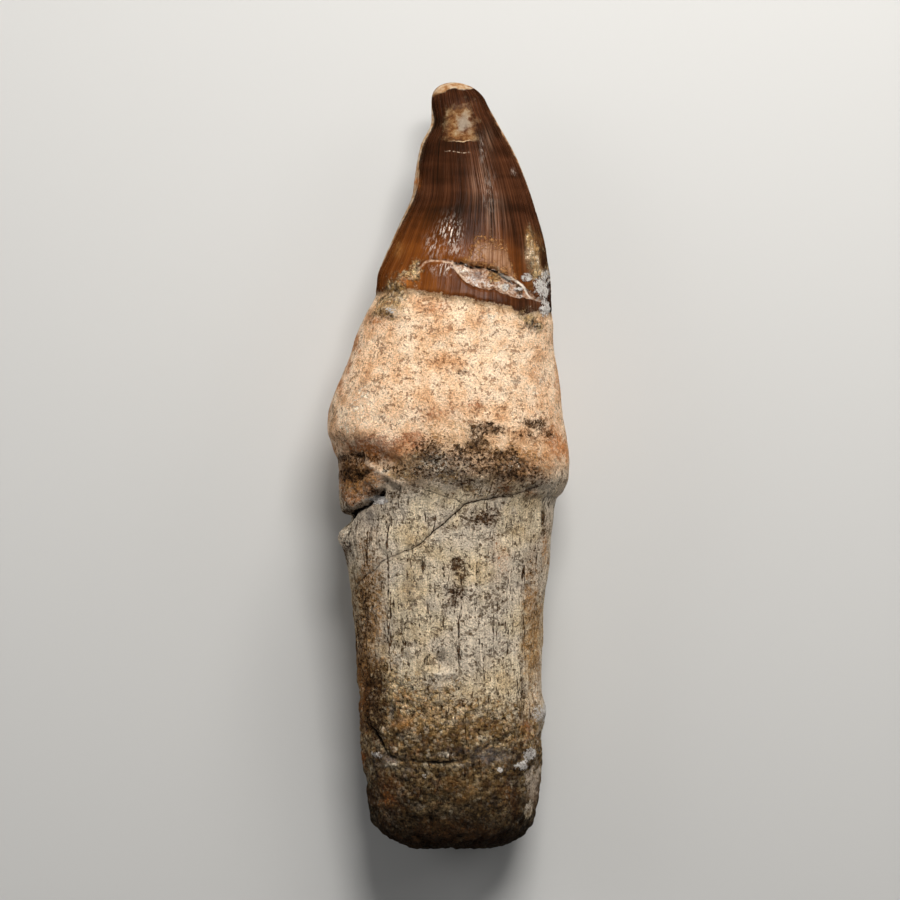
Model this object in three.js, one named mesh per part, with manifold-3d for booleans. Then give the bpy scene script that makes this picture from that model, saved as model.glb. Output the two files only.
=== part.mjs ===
// A fossil mosasaur tooth: a curved, keeled crown grown in one piece with its long bony root.
// It lies on its back as it would on a table. +Y runs from the root's end to the crown's tip,
// +X is the convex side of the crown, +Z is up and Z = 0 is the surface that it lies on.
// All lengths are in millimetres and all angles in radians.
import * as THREE from "three";
import { mergeVertices } from "three/addons/utils/BufferGeometryUtils.js";
import Module from "manifold-3d";

// ---- Driving dimensions ----------------------------------------------------------------------
const LENGTH = 125;
const TIP_Y = LENGTH / 2;
const END_Y = -LENGTH / 2;
const TIP_ROUNDING = 3.1; // how far back from the tip its dome begins
const END_ROUNDING = 7.6; // how far up from the root's end its rounded edge begins
const TIP_SQUARENESS = 2; // 2 is an ellipse, more is boxier
const END_SQUARENESS = 3.1;
const CROWN_SQUARENESS = 1.9; // the crown's section is a little lens-like between its two keels
const ROOT_SQUARENESS = 2.25; // the root's section is a fuller oval
const KEEL_HEIGHT = 0.35; // the crown's two cutting edges stand this far out
const KEEL_WIDTH = 0.09; // as an angle round the section
const ENAMEL_STEP = 0.25; // the enamel ends in a step of this height above the bone
const ENAMEL_STEP_WIDTH = 1.4; // over which the bone rises again below the step

const AROUND = 64; // facets round the tooth
const CAP_RINGS = 7; // rings over each rounded end

const BONE_COLOUR = 0xc9ac86;

// ---- Outlines: each is a list of [y, edge], from the crown's tip to the root's end --------------
// Concave side, seen from above.
const LEFT_EDGE = [
  [62.5, -3.4], [59.4, -2.8], [56.2, -2.8], [51.9, -4.6], [47.1, -5.5], [44.0, -5.9],
  [39.1, -8.0], [32.8, -10.8], [30.6, -11.6], [28.3, -11.8], [24.1, -13.6], [17.7, -16.0],
  [10.4, -18.9], [8.2, -19.5], [5.3, -19.6], [2.6, -19.0], [-0.6, -17.9], [-6.9, -17.8],
  [-9.2, -16.9], [-11.6, -17.4], [-15.8, -16.8], [-20.5, -16.0], [-33.6, -14.9],
  [-47.0, -14.2], [-55.0, -13.0], [-62.5, -12.6],
];
// Convex side, seen from above.
const RIGHT_EDGE = [
  [62.5, 5.0], [59.4, 6.1], [56.0, 7.9], [49.6, 11.3], [42.4, 13.9], [34.7, 15.9],
  [27.0, 16.7], [22.5, 16.9], [13.1, 18.1], [3.8, 19.2], [0.1, 19.65], [-2.2, 19.5],
  [-4.7, 18.5], [-5.8, 17.5], [-8.1, 17.0], [-16.4, 16.4], [-22.6, 15.7], [-32.0, 15.4],
  [-48.0, 15.3], [-54.0, 14.6], [-62.5, 14.2],
];
// Upper face, seen from the side.
const FRONT_EDGE = [
  [62.5, 15.2], [59.4, 16.3], [54.0, 18.9], [45.0, 22.6], [35.0, 25.7], [27.0, 27.3],
  [18.0, 28.9], [9.0, 30.6], [3.0, 31.0], [-1.6, 30.3], [-4.4, 28.6], [-7.0, 27.9],
  [-14.0, 27.3], [-30.0, 26.0], [-42.0, 25.3], [-54.0, 24.2], [-62.5, 23.2],
];
// Under face, seen from the side. Where it dips below 0 it is worn flat.
const BACK_EDGE = [
  [62.5, 9.6], [59.4, 9.2], [54.0, 8.3], [45.0, 7.0], [35.0, 5.6], [27.0, 4.3],
  [18.0, 2.5], [9.0, 0.4], [3.5, -0.75], [-1.0, -0.7], [-4.5, 0.4], [-9.0, 1.1],
  [-20.0, 1.0], [-34.0, 0.1], [-44.0, -0.7], [-52.0, -0.75], [-55.0, -0.3], [-62.5, 0.6],
];

// ---- Relief ------------------------------------------------------------------------------------
// Cracks on the upper face: points [x, y], depth and half width.
const CROWN_CRACK = {
  path: [[-5.5, 31.9], [-3.0, 33.6], [0.2, 33.3], [6.5, 31.6], [11.7, 29.3], [14.6, 28.5]],
  depth: 0.45,
  halfWidth: 0.7,
};
const FLAKED_ENAMEL = {
  path: [[1.6, 31.4], [5.1, 30.3], [9.2, 28.9], [13.3, 27.5], [16.4, 26.2]],
  depth: 0.55,
  halfWidth: 1.5,
};
const BROKEN_COLLAR = {
  path: [[-18.0, -10.6], [-13.6, -7.1], [-10.2, -4.5]],
  depth: 0.9,
  halfWidth: 0.9,
};
const ROOT_END_CRACK = {
  path: [[-15.5, -45.6], [-12.0, -48.0], [-6.3, -48.8], [2.2, -48.6], [8.4, -46.5], [14.8, -43.8]],
  depth: 0.7,
  halfWidth: 0.8,
};
const ROOT_END_SPUR = {
  path: [[-12.4, -43.2], [-11.5, -44.9], [-9.1, -48.0]],
  depth: 0.6,
  halfWidth: 0.7,
};
const GROOVES = [CROWN_CRACK, FLAKED_ENAMEL, BROKEN_COLLAR, ROOT_END_CRACK, ROOT_END_SPUR];

// Lumps and hollows on the upper face: centre [x, y], radii and height, which is negative in a hollow.
const COLLAR_HOLLOW = { at: [-15.9, -1.9], radii: [3.6, 1.6], height: -1.1 };
const COLLAR_CHIP = { at: [-12.6, -4.9], radii: [2.6, 1.3], height: 0.4 };
const LEFT_LUMP = { at: [-17.4, -12.3], radii: [1.7, 1.4], height: 0.6 };
const RIGHT_LUMP = { at: [15.4, -40.4], radii: [1.5, 1.9], height: 0.6 };
const TIP_SPALL = { at: [2.1, 55.6], radii: [2.8, 2.6], height: -0.25 };
const CROWN_MATRIX = { at: [14.9, 31.4], radii: [1.9, 4.6], height: 0.3 };
const NECK_MATRIX = { at: [-8.0, 28.6], radii: [3.2, 2.2], height: 0.3 };
const LUMPS = [
  COLLAR_HOLLOW, COLLAR_CHIP, LEFT_LUMP, RIGHT_LUMP, TIP_SPALL, CROWN_MATRIX, NECK_MATRIX,
];

// The rock crust on the root's end: where it begins, how thick it is and the size of its bumps.
const CRUST_TOP_Y = -37.5;
const CRUST_FADE = 5.0;
const CRUST_THICKNESS = 0.3;
const CRUST_BUMP = 0.22;

// ---- Curves ------------------------------------------------------------------------------------
/** A smooth function through [position, value] points that never overshoots between two of them. */
function smoothCurve(points) {
  const sorted = [...points].sort((a, b) => a[0] - b[0]);
  const steps = sorted.slice(1).map(([at], i) => at - sorted[i][0]);
  const slopes = sorted.slice(1).map(([, value], i) => (value - sorted[i][1]) / steps[i]);
  const tangents = sorted.map((_, i) => {
    const [before, after] = [slopes[i - 1] ?? slopes[i], slopes[i] ?? slopes[i - 1]];
    return before * after <= 0 ? 0 : (2 * before * after) / (before + after);
  });
  return (at) => {
    let i = sorted.findIndex(([next]) => next >= at) - 1;
    i = Math.min(Math.max(i, 0), steps.length - 1);
    const t = THREE.MathUtils.clamp((at - sorted[i][0]) / steps[i], 0, 1);
    const [t2, t3] = [t * t, t * t * t];
    return (
      (2 * t3 - 3 * t2 + 1) * sorted[i][1] +
      (t3 - 2 * t2 + t) * steps[i] * tangents[i] +
      (3 * t2 - 2 * t3) * sorted[i + 1][1] +
      (t3 - t2) * steps[i] * tangents[i + 1]
    );
  };
}

const leftEdge = smoothCurve(LEFT_EDGE);
const rightEdge = smoothCurve(RIGHT_EDGE);
const frontEdge = smoothCurve(FRONT_EDGE);
const backEdge = smoothCurve(BACK_EDGE);

const { smoothstep, clamp } = THREE.MathUtils;

/** A bell of height 1 at 0 that has all but gone at 2. */
const bell = (distance) => Math.exp(-distance * distance);

/** The share of the full section that is left at y: 1 along the tooth, falling to 0 at its two ends. */
function endShare(y) {
  const dome = (depth, squareness) =>
    Math.pow(Math.max(1 - Math.pow(clamp(depth, 0, 1), squareness), 0), 1 / squareness);
  return (
    dome((y - TIP_Y + TIP_ROUNDING) / TIP_ROUNDING, TIP_SQUARENESS) *
    dome((END_Y + END_ROUNDING - y) / END_ROUNDING, END_SQUARENESS)
  );
}

/** Where the enamel ends, as y, at an angle round the tooth. It is lower on the convex side. */
const enamelEnd = (angle) => 26.2 - 2.0 * Math.cos(angle) + 0.4 * Math.sin(angle);

/** Distance from a point to a path of [x, y] points. */
function distanceToPath(x, y, path) {
  const point = new THREE.Vector3(x, y, 0);
  const nearest = new THREE.Vector3();
  const distances = path.slice(1).map((end, i) => {
    const segment = new THREE.Line3(
      new THREE.Vector3(...path[i], 0),
      new THREE.Vector3(...end, 0),
    );
    return segment.closestPointToPoint(point, true, nearest).distanceTo(point);
  });
  return Math.min(...distances);
}

// ---- Surface -----------------------------------------------------------------------------------
/** How far the surface at a point stands out from the smooth tooth. */
function relief(x, y, angle) {
  const upper = smoothstep(Math.sin(angle), 0.0, 0.25); // cracks and lumps are on the upper face
  let height = 0;

  // The outlines run along the keels, so the rest of the crown lies inside them.
  const aboveEnamelEnd = y - enamelEnd(angle);
  const crown = smoothstep(aboveEnamelEnd, -0.4, 0.4);
  const keelFade = smoothstep(aboveEnamelEnd, 0, 6) * (1 - smoothstep(y, TIP_Y - 6, TIP_Y - 2));
  const offKeel = Math.min(Math.abs(Math.sin(angle / 2)), Math.abs(Math.cos(angle / 2))) * 2;
  height -= KEEL_HEIGHT * keelFade * (1 - bell(offKeel / KEEL_WIDTH));
  height -= (1 - crown) * ENAMEL_STEP * bell(aboveEnamelEnd / ENAMEL_STEP_WIDTH);

  for (const groove of GROOVES) {
    height -= upper * groove.depth * bell(distanceToPath(x, y, groove.path) / groove.halfWidth);
  }
  for (const { at, radii, height: rise } of LUMPS) {
    height += upper * rise * bell(Math.hypot((x - at[0]) / radii[0], (y - at[1]) / radii[1]));
  }

  const crustTop = CRUST_TOP_Y + 1.6 * Math.sin(3 * angle + 0.6) + 1.1 * Math.sin(5 * angle);
  const crust = 1 - smoothstep(y, crustTop - CRUST_FADE, crustTop);
  const bumps = Math.sin(9 * angle + 0.8 * y) * Math.sin(1.3 * y - 4 * angle) + Math.sin(2.1 * y);
  height += crust * (CRUST_THICKNESS + (CRUST_BUMP * bumps) / 2);

  // The bone's own slow unevenness.
  const root = 1 - crown;
  height += root * 0.16 * Math.sin(3 * angle + 0.21 * y) * Math.sin(0.37 * y + 2 * angle + 1);
  return height;
}

/** The point of the tooth's surface at y and at an angle round the section, 0 at +X and PI / 2 up. */
function surfacePoint(y, angle) {
  const share = endShare(y);
  const [left, right, front, back] = [leftEdge(y), rightEdge(y), frontEdge(y), backEdge(y)];
  const centre = new THREE.Vector2((left + right) / 2, (front + back) / 2);
  const crown = smoothstep(y, 20, 34);
  const power = 2 / THREE.MathUtils.lerp(ROOT_SQUARENESS, CROWN_SQUARENESS, crown);
  const swell = (v) => Math.sign(v) * Math.pow(Math.abs(v), power);
  const out = new THREE.Vector2(swell(Math.cos(angle)), swell(Math.sin(angle)));
  const x = centre.x + (out.x * share * (right - left)) / 2;
  const z = centre.y + (out.y * share * (front - back)) / 2;
  const outward = new THREE.Vector2(Math.cos(angle), Math.sin(angle));
  outward.multiplyScalar(relief(x, y, angle) * Math.min(1, 2 * share));
  return new THREE.Vector3(x + outward.x, y, z + outward.y);
}

/** The y of every ring, from the root's end to the tip. They lie closer where the surface is busy. */
function ringPositions() {
  const rings = [];
  const cap = (i) => Math.sin((i / CAP_RINGS) * (Math.PI / 2));
  for (let i = CAP_RINGS - 1; i > 0; i--) rings.push(END_Y + END_ROUNDING * (1 - cap(i)));
  const spans = [
    { to: -50.5, step: 1.45 },
    { to: -42.5, step: 1.15 },
    { to: -14.0, step: 2.9 },
    { to: 4.0, step: 1.12 },
    { to: 24.0, step: 2.5 },
    { to: 35.0, step: 1.1 },
    { to: TIP_Y - TIP_ROUNDING, step: 2.4 },
  ];
  let from = END_Y + END_ROUNDING;
  for (const { to, step } of spans) {
    const count = Math.round((to - from) / step);
    for (let i = 0; i < count; i++) rings.push(from + ((to - from) * i) / count);
    from = to;
  }
  for (let i = 0; i < CAP_RINGS; i++) rings.push(from + TIP_ROUNDING * cap(i));
  return rings;
}

/** The whole tooth as one closed mesh: rings joined by quads, and a fan at each end. */
function toothGeometry() {
  const positions = [];
  const push = (...points) => points.forEach((point) => positions.push(...point.toArray()));
  const rings = ringPositions().map((y) =>
    Array.from({ length: AROUND }, (_, i) => surfacePoint(y, (i / AROUND) * Math.PI * 2)),
  );
  for (let r = 0; r + 1 < rings.length; r++) {
    for (let i = 0; i < AROUND; i++) {
      const next = (i + 1) % AROUND;
      const [a, b, c, d] = [rings[r][i], rings[r][next], rings[r + 1][next], rings[r + 1][i]];
      push(a, c, b, a, d, c);
    }
  }
  const tip = surfacePoint(TIP_Y, 0);
  const end = surfacePoint(END_Y, 0);
  for (let i = 0; i < AROUND; i++) {
    const next = (i + 1) % AROUND;
    push(rings[0][next], end, rings[0][i]);
    push(rings.at(-1)[i], tip, rings.at(-1)[next]);
  }
  const geometry = new THREE.BufferGeometry();
  return geometry.setAttribute("position", new THREE.Float32BufferAttribute(positions, 3));
}

// ---- The worn flats ------------------------------------------------------------------------------
const wasm = await Module();
wasm.setup();

/** A closed three.js geometry as a solid that can be cut. */
function solidOf(geometry) {
  const bare = new THREE.BufferGeometry().copy(geometry.index ? geometry.toNonIndexed() : geometry);
  bare.deleteAttribute("normal");
  bare.deleteAttribute("uv");
  const merged = mergeVertices(bare, 1e-4);
  return new wasm.Manifold(
    new wasm.Mesh({
      numProp: 3,
      vertProperties: merged.attributes.position.array,
      triVerts: new Uint32Array(merged.index.array),
    }),
  );
}

/** A solid back as a three.js geometry. */
function geometryOf(solid) {
  const { vertProperties, triVerts } = solid.getMesh();
  const geometry = new THREE.BufferGeometry();
  geometry.setAttribute("position", new THREE.BufferAttribute(vertProperties, 3));
  geometry.setIndex(new THREE.BufferAttribute(triVerts, 1));
  geometry.computeVertexNormals();
  return geometry;
}

const WORN_AWAY = 10; // the depth of the slab below Z = 0 that is cut off
const slab = new THREE.BoxGeometry(LENGTH, 2 * LENGTH, WORN_AWAY).translate(0, 0, -WORN_AWAY / 2);
const wornTooth = solidOf(toothGeometry()).subtract(solidOf(slab));

// ---- The part ------------------------------------------------------------------------------------
const tooth = new THREE.Mesh(
  geometryOf(wornTooth),
  new THREE.MeshStandardMaterial({ color: BONE_COLOUR, roughness: 0.85, metalness: 0 }),
);
tooth.name = "tooth";

const part = new THREE.Group();
part.add(tooth);

export default part;
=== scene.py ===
"""A fossil mosasaur tooth lying on its back: a glossy, keeled crown grown in one piece with its bony root.

The tooth is cast as a blank, ring by ring, settled on its outlines and then carved: cracks, flaked enamel,
pits, ledges and the rock crust on the root's end are all in the mesh. Lengths are in millimetres until a
mesh is written. +Y runs from the root's end to the crown's tip, +X is the crown's convex side, +Z is up.
"""

import logging
import math
from collections.abc import Sequence
from dataclasses import dataclass, field
from enum import Enum
from functools import partial, reduce

import bpy
import numpy as np
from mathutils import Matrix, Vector


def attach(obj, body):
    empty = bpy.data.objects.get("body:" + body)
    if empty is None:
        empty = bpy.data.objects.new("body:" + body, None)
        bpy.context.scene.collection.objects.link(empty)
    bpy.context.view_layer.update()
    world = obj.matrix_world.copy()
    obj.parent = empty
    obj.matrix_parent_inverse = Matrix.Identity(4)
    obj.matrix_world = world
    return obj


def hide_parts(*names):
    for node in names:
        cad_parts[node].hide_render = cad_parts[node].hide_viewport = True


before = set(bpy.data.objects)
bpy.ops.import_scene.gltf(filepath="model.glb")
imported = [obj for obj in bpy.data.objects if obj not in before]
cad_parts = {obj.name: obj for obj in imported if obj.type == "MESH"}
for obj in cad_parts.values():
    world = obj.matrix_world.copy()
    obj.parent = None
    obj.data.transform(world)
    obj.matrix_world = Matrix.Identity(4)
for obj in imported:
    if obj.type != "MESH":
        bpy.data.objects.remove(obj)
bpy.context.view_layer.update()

MM = 0.001
TURN = 2 * math.pi
GIRTH = 15.0  # how far from the tooth's middle the patterns that run round it are drawn
EYE = (0.245, 2.2, 627.75)  # where the camera stands and the marks are laid out from, straight above
LEVEL = 15.0  # the level that the marks are laid out on, at half the tooth's height
log = logging.getLogger("tooth")

Colour = tuple[float, float, float]
Points = tuple[tuple[float, float], ...]
Stops = tuple[tuple[float, int], ...]  # a row of (position, 0xRRGGBB) colours
Socket = bpy.types.NodeSocket
Value = Socket | float | tuple[float, ...]  # what a socket is fed with: a link, or its own value


def hexed(value: int) -> Colour:
    """Turns a 0xRRGGBB display colour into linear light."""
    channels = (value >> 16 & 255, value >> 8 & 255, value & 255)
    return tuple(((c / 255 + 0.055) / 1.055) ** 2.4 if c > 10 else c / 255 / 12.92 for c in channels)


def ease(value: np.ndarray, low: float, high: float) -> np.ndarray:
    """Rises smoothly from 0 at low to 1 at high."""
    t = np.clip((value - low) / (high - low), 0.0, 1.0)
    return t * t * (3 - 2 * t)


def bell(distance: np.ndarray) -> np.ndarray:
    """A bell of height 1 at 0 that has all but gone at 2."""
    return np.exp(-distance * distance)


# ---- Noise ----------------------------------------------------------------------------------------------

WORD = 0xFFFFFFFF
CELL_PRIMES = np.array([73856093, 19349663, 83492791])
SEED_PRIME = 2654435761
MIXERS = ((16, 0x45D9F3B), (15, 0x2C1B3C6D), (13, 0x297A2D39))


def scatter(cells: np.ndarray, seed: int) -> np.ndarray:
    """Gives each whole-number cell its own fixed random number from 0 to 1.

    Args:
        cells: (n, 3) whole numbers.
        seed: A different seed gives other numbers.

    Returns:
        n numbers.
    """
    mixed = (cells * CELL_PRIMES).sum(1) + seed * SEED_PRIME
    mixed = mixed & WORD
    for shift, factor in MIXERS:
        mixed = ((mixed ^ (mixed >> shift)) * factor) & WORD
    return (mixed ^ (mixed >> 16)) / WORD


def waver(points: np.ndarray, size: float, octaves: int, seed: int) -> np.ndarray:
    """Smooth fractal noise from about -1 to 1.

    Args:
        points: (n, 3) places in millimetres.
        size: The length of its largest waves.
        octaves: How many halvings of that size are added.
        seed: A different seed gives another pattern.

    Returns:
        n numbers.
    """
    total = np.zeros(len(points))
    reach = 0.0
    for octave in range(octaves):
        scaled = points * (2**octave / size)
        cell = np.floor(scaled).astype(np.int64)
        part = scaled - cell
        part = part * part * (3 - 2 * part)
        for corner in range(8):
            step = np.array([corner & 1, corner >> 1 & 1, corner >> 2])
            weight = np.prod(np.where(step, part, 1 - part), axis=1)
            total += weight * (2 * scatter(cell + step, seed + octave) - 1) * 0.5**octave
        reach += 0.5**octave
    return total / reach


def pebbles(points: np.ndarray, size: float, seed: int) -> np.ndarray:
    """Packed round bumps: 1 at the middle of each, 0 or less between them.

    Args:
        points: (n, 3) places in millimetres.
        size: The distance between bumps.
        seed: A different seed gives another pattern.

    Returns:
        n heights.
    """
    scaled = points / size
    cell = np.floor(scaled).astype(np.int64)
    nearest = np.full(len(points), 9.0)
    for index in range(27):
        corner = cell + np.array([index % 3, index // 3 % 3, index // 9]) - 1
        jitter = np.stack([scatter(corner, seed + axis) for axis in range(3)], axis=1)
        nearest = np.minimum(nearest, ((scaled - corner - jitter) ** 2).sum(1))
    return 1 - 1.6 * nearest


# ---- The tooth's form -----------------------------------------------------------------------------------


@dataclass(frozen=True)
class Line:
    """A smooth line through (position, value) points that never overshoots between two of them."""

    points: Points

    def at(self, position: np.ndarray) -> np.ndarray:
        """The line's value at each position.

        Args:
            position: n positions.

        Returns:
            n values.
        """
        places, values = np.array(sorted(self.points)).T
        steps = np.diff(places)
        slopes = np.diff(values) / steps
        before, after = np.append(slopes[0], slopes), np.append(slopes, slopes[-1])
        same_way = before * after > 0
        tangents = np.where(same_way, 2 * before * after / np.where(same_way, before + after, 1), 0)
        i = np.clip(np.searchsorted(places, position) - 1, 0, len(steps) - 1)
        t = np.clip((position - places[i]) / steps[i], 0, 1)
        t2, t3 = t * t, t * t * t
        ends = (2 * t3 - 3 * t2 + 1) * values[i] + (3 * t2 - 2 * t3) * values[i + 1]
        return ends + steps[i] * ((t3 - 2 * t2 + t) * tangents[i] + (t3 - t2) * tangents[i + 1])


LEFT_EDGE = Line((
    (62.5, -3.4), (59.4, -2.8), (56.2, -2.8), (51.9, -4.6), (47.1, -5.5), (44.0, -5.9), (39.1, -8.0),
    (32.8, -10.8), (30.6, -11.6), (28.3, -11.8), (24.1, -13.6), (17.7, -16.0), (10.4, -18.9),
    (8.2, -19.5), (5.3, -19.6), (2.6, -19.0), (-0.6, -17.9), (-6.9, -17.8), (-9.2, -16.9),
    (-11.6, -17.4), (-15.8, -16.8), (-20.5, -16.0), (-33.6, -14.7), (-47.0, -13.8), (-55.0, -12.8),
    (-62.5, -12.6),
))
RIGHT_EDGE = Line((
    (62.5, 5.0), (59.4, 6.1), (56.0, 7.9), (49.6, 11.3), (42.4, 13.9), (34.7, 15.9), (27.0, 16.7),
    (22.5, 16.9), (13.1, 18.1), (3.8, 19.2), (0.1, 19.65), (-2.2, 19.5), (-4.7, 18.5), (-5.8, 17.5),
    (-8.1, 17.0), (-16.4, 16.4), (-22.6, 15.7), (-32.0, 15.4), (-48.0, 14.9), (-54.0, 14.1),
    (-62.5, 14.2),
))
FRONT_EDGE = Line((
    (62.5, 15.2), (59.4, 16.3), (54.0, 18.9), (45.0, 22.6), (35.0, 25.7), (27.0, 27.3), (18.0, 28.9),
    (9.0, 30.6), (3.0, 31.0), (-1.6, 30.3), (-4.4, 28.6), (-7.0, 27.9), (-14.0, 27.3), (-30.0, 26.0),
    (-42.0, 25.3), (-54.0, 24.2), (-62.5, 23.2),
))
BACK_EDGE = Line((
    (62.5, 9.6), (59.4, 9.2), (54.0, 8.3), (45.0, 7.0), (35.0, 5.6), (27.0, 4.3), (18.0, 2.5),
    (9.0, 0.4), (3.5, -0.75), (-1.0, -0.7), (-4.5, 0.4), (-9.0, 1.1), (-20.0, 1.0), (-34.0, 0.1),
    (-44.0, -0.7), (-52.0, -0.75), (-55.0, -0.3), (-62.5, 0.6),
))


@dataclass
class Skin:
    """The tooth's surface: where each point lies, and what is known there.

    Attributes:
        place: (n, 3) places in millimetres.
        angle: The angle round the section, 0 at +X and a quarter turn at the top.
        share: The share of the full section that is left at the rounded ends.
        ring: How far each point is along the blank, in rings from the root's end.
        measures: Named numbers at each point, which the finish reads.
    """

    place: np.ndarray
    angle: np.ndarray
    share: np.ndarray
    ring: np.ndarray
    measures: dict[str, np.ndarray] = field(default_factory=dict)

    def __post_init__(self) -> None:
        """Works out where each point is seen from above and how far the marks' outlines wander there."""
        nearer = (EYE[2] - LEVEL) / (EYE[2] - self.place[:, 2:])
        self.seen = EYE[:2] + (self.place[:, :2] - EYE[:2]) * nearer
        self.sway = np.stack([waver(self.place, 2.4, 3, 3), waver(self.place, 2.4, 3, 4)])

    @property
    def x(self) -> np.ndarray:
        """Where each point is seen across the tooth."""
        return self.seen[:, 0]

    @property
    def y(self) -> np.ndarray:
        """Where each point is seen along the tooth."""
        return self.seen[:, 1]

    @property
    def upper(self) -> np.ndarray:
        """1 on the upper face and just round its edges, 0 on the under face."""
        return ease(np.sin(self.angle) + 0.12 * self.sway[0], -0.4, -0.1)

    @property
    def flow(self) -> np.ndarray:
        """(n, 3) places round and along the tooth, which don't narrow with it."""
        return np.stack([np.cos(self.angle) * GIRTH, self.y, np.sin(self.angle) * GIRTH], axis=1)

    def lengthwise(self, across: float, along: float) -> np.ndarray:
        """Places for a pattern that runs along the tooth and narrows with it.

        Args:
            across: The pattern's size round the tooth.
            along: Its size along the tooth.

        Returns:
            (n, 3) places.
        """
        round_place = np.stack([np.cos(self.angle), np.zeros_like(self.angle), np.sin(self.angle)], axis=1)
        return round_place * GIRTH / across + np.array([0, 1 / along, 0]) * self.y[:, None]


@dataclass(frozen=True)
class Wave:
    """Fractal noise on the skin: its height, the size of its largest waves, its octaves and its seed."""

    height: float
    size: float
    octaves: int
    seed: int

    def on(self, skin: Skin) -> np.ndarray:
        """The noise at each point."""
        return self.height * waver(skin.place, self.size, self.octaves, self.seed)


@dataclass(frozen=True)
class Lumps:
    """Packed round lumps on the skin: their height, their spacing, the share that is sunk and their seed."""

    height: float
    size: float
    sunk: float
    seed: int

    def on(self, skin: Skin) -> np.ndarray:
        """How far the lumps stand out at each point."""
        return self.height * (pebbles(skin.place, self.size, self.seed) - self.sunk)


@dataclass(frozen=True)
class Span:
    """A stretch of the tooth, up to a y, that the blank crosses in a number of rings."""

    to: float
    rings: int


@dataclass(frozen=True)
class Cap:
    """A rounded end: its length and half width, its rings, and 2 for an ellipse or more for a boxier one."""

    rounding: float
    radius: float
    rings: int
    squareness: float

    def closing(self, steps: int) -> tuple[np.ndarray, np.ndarray]:
        """How the end closes.

        Args:
            steps: The number of even steps to a ring.

        Returns:
            Depth from the pole and share of the section at each step.
        """
        turn = np.linspace(0, math.pi / 2, 2000)
        share = np.sin(turn) ** (2 / self.squareness)
        depth = self.rounding * (1 - np.cos(turn) ** (2 / self.squareness))
        run = np.append(0, np.cumsum(np.hypot(np.diff(share * self.radius), np.diff(depth))))
        even = np.linspace(0, run[-1], self.rings * steps + 1)
        return np.interp(even, run, depth), np.interp(even, run, share)


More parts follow.
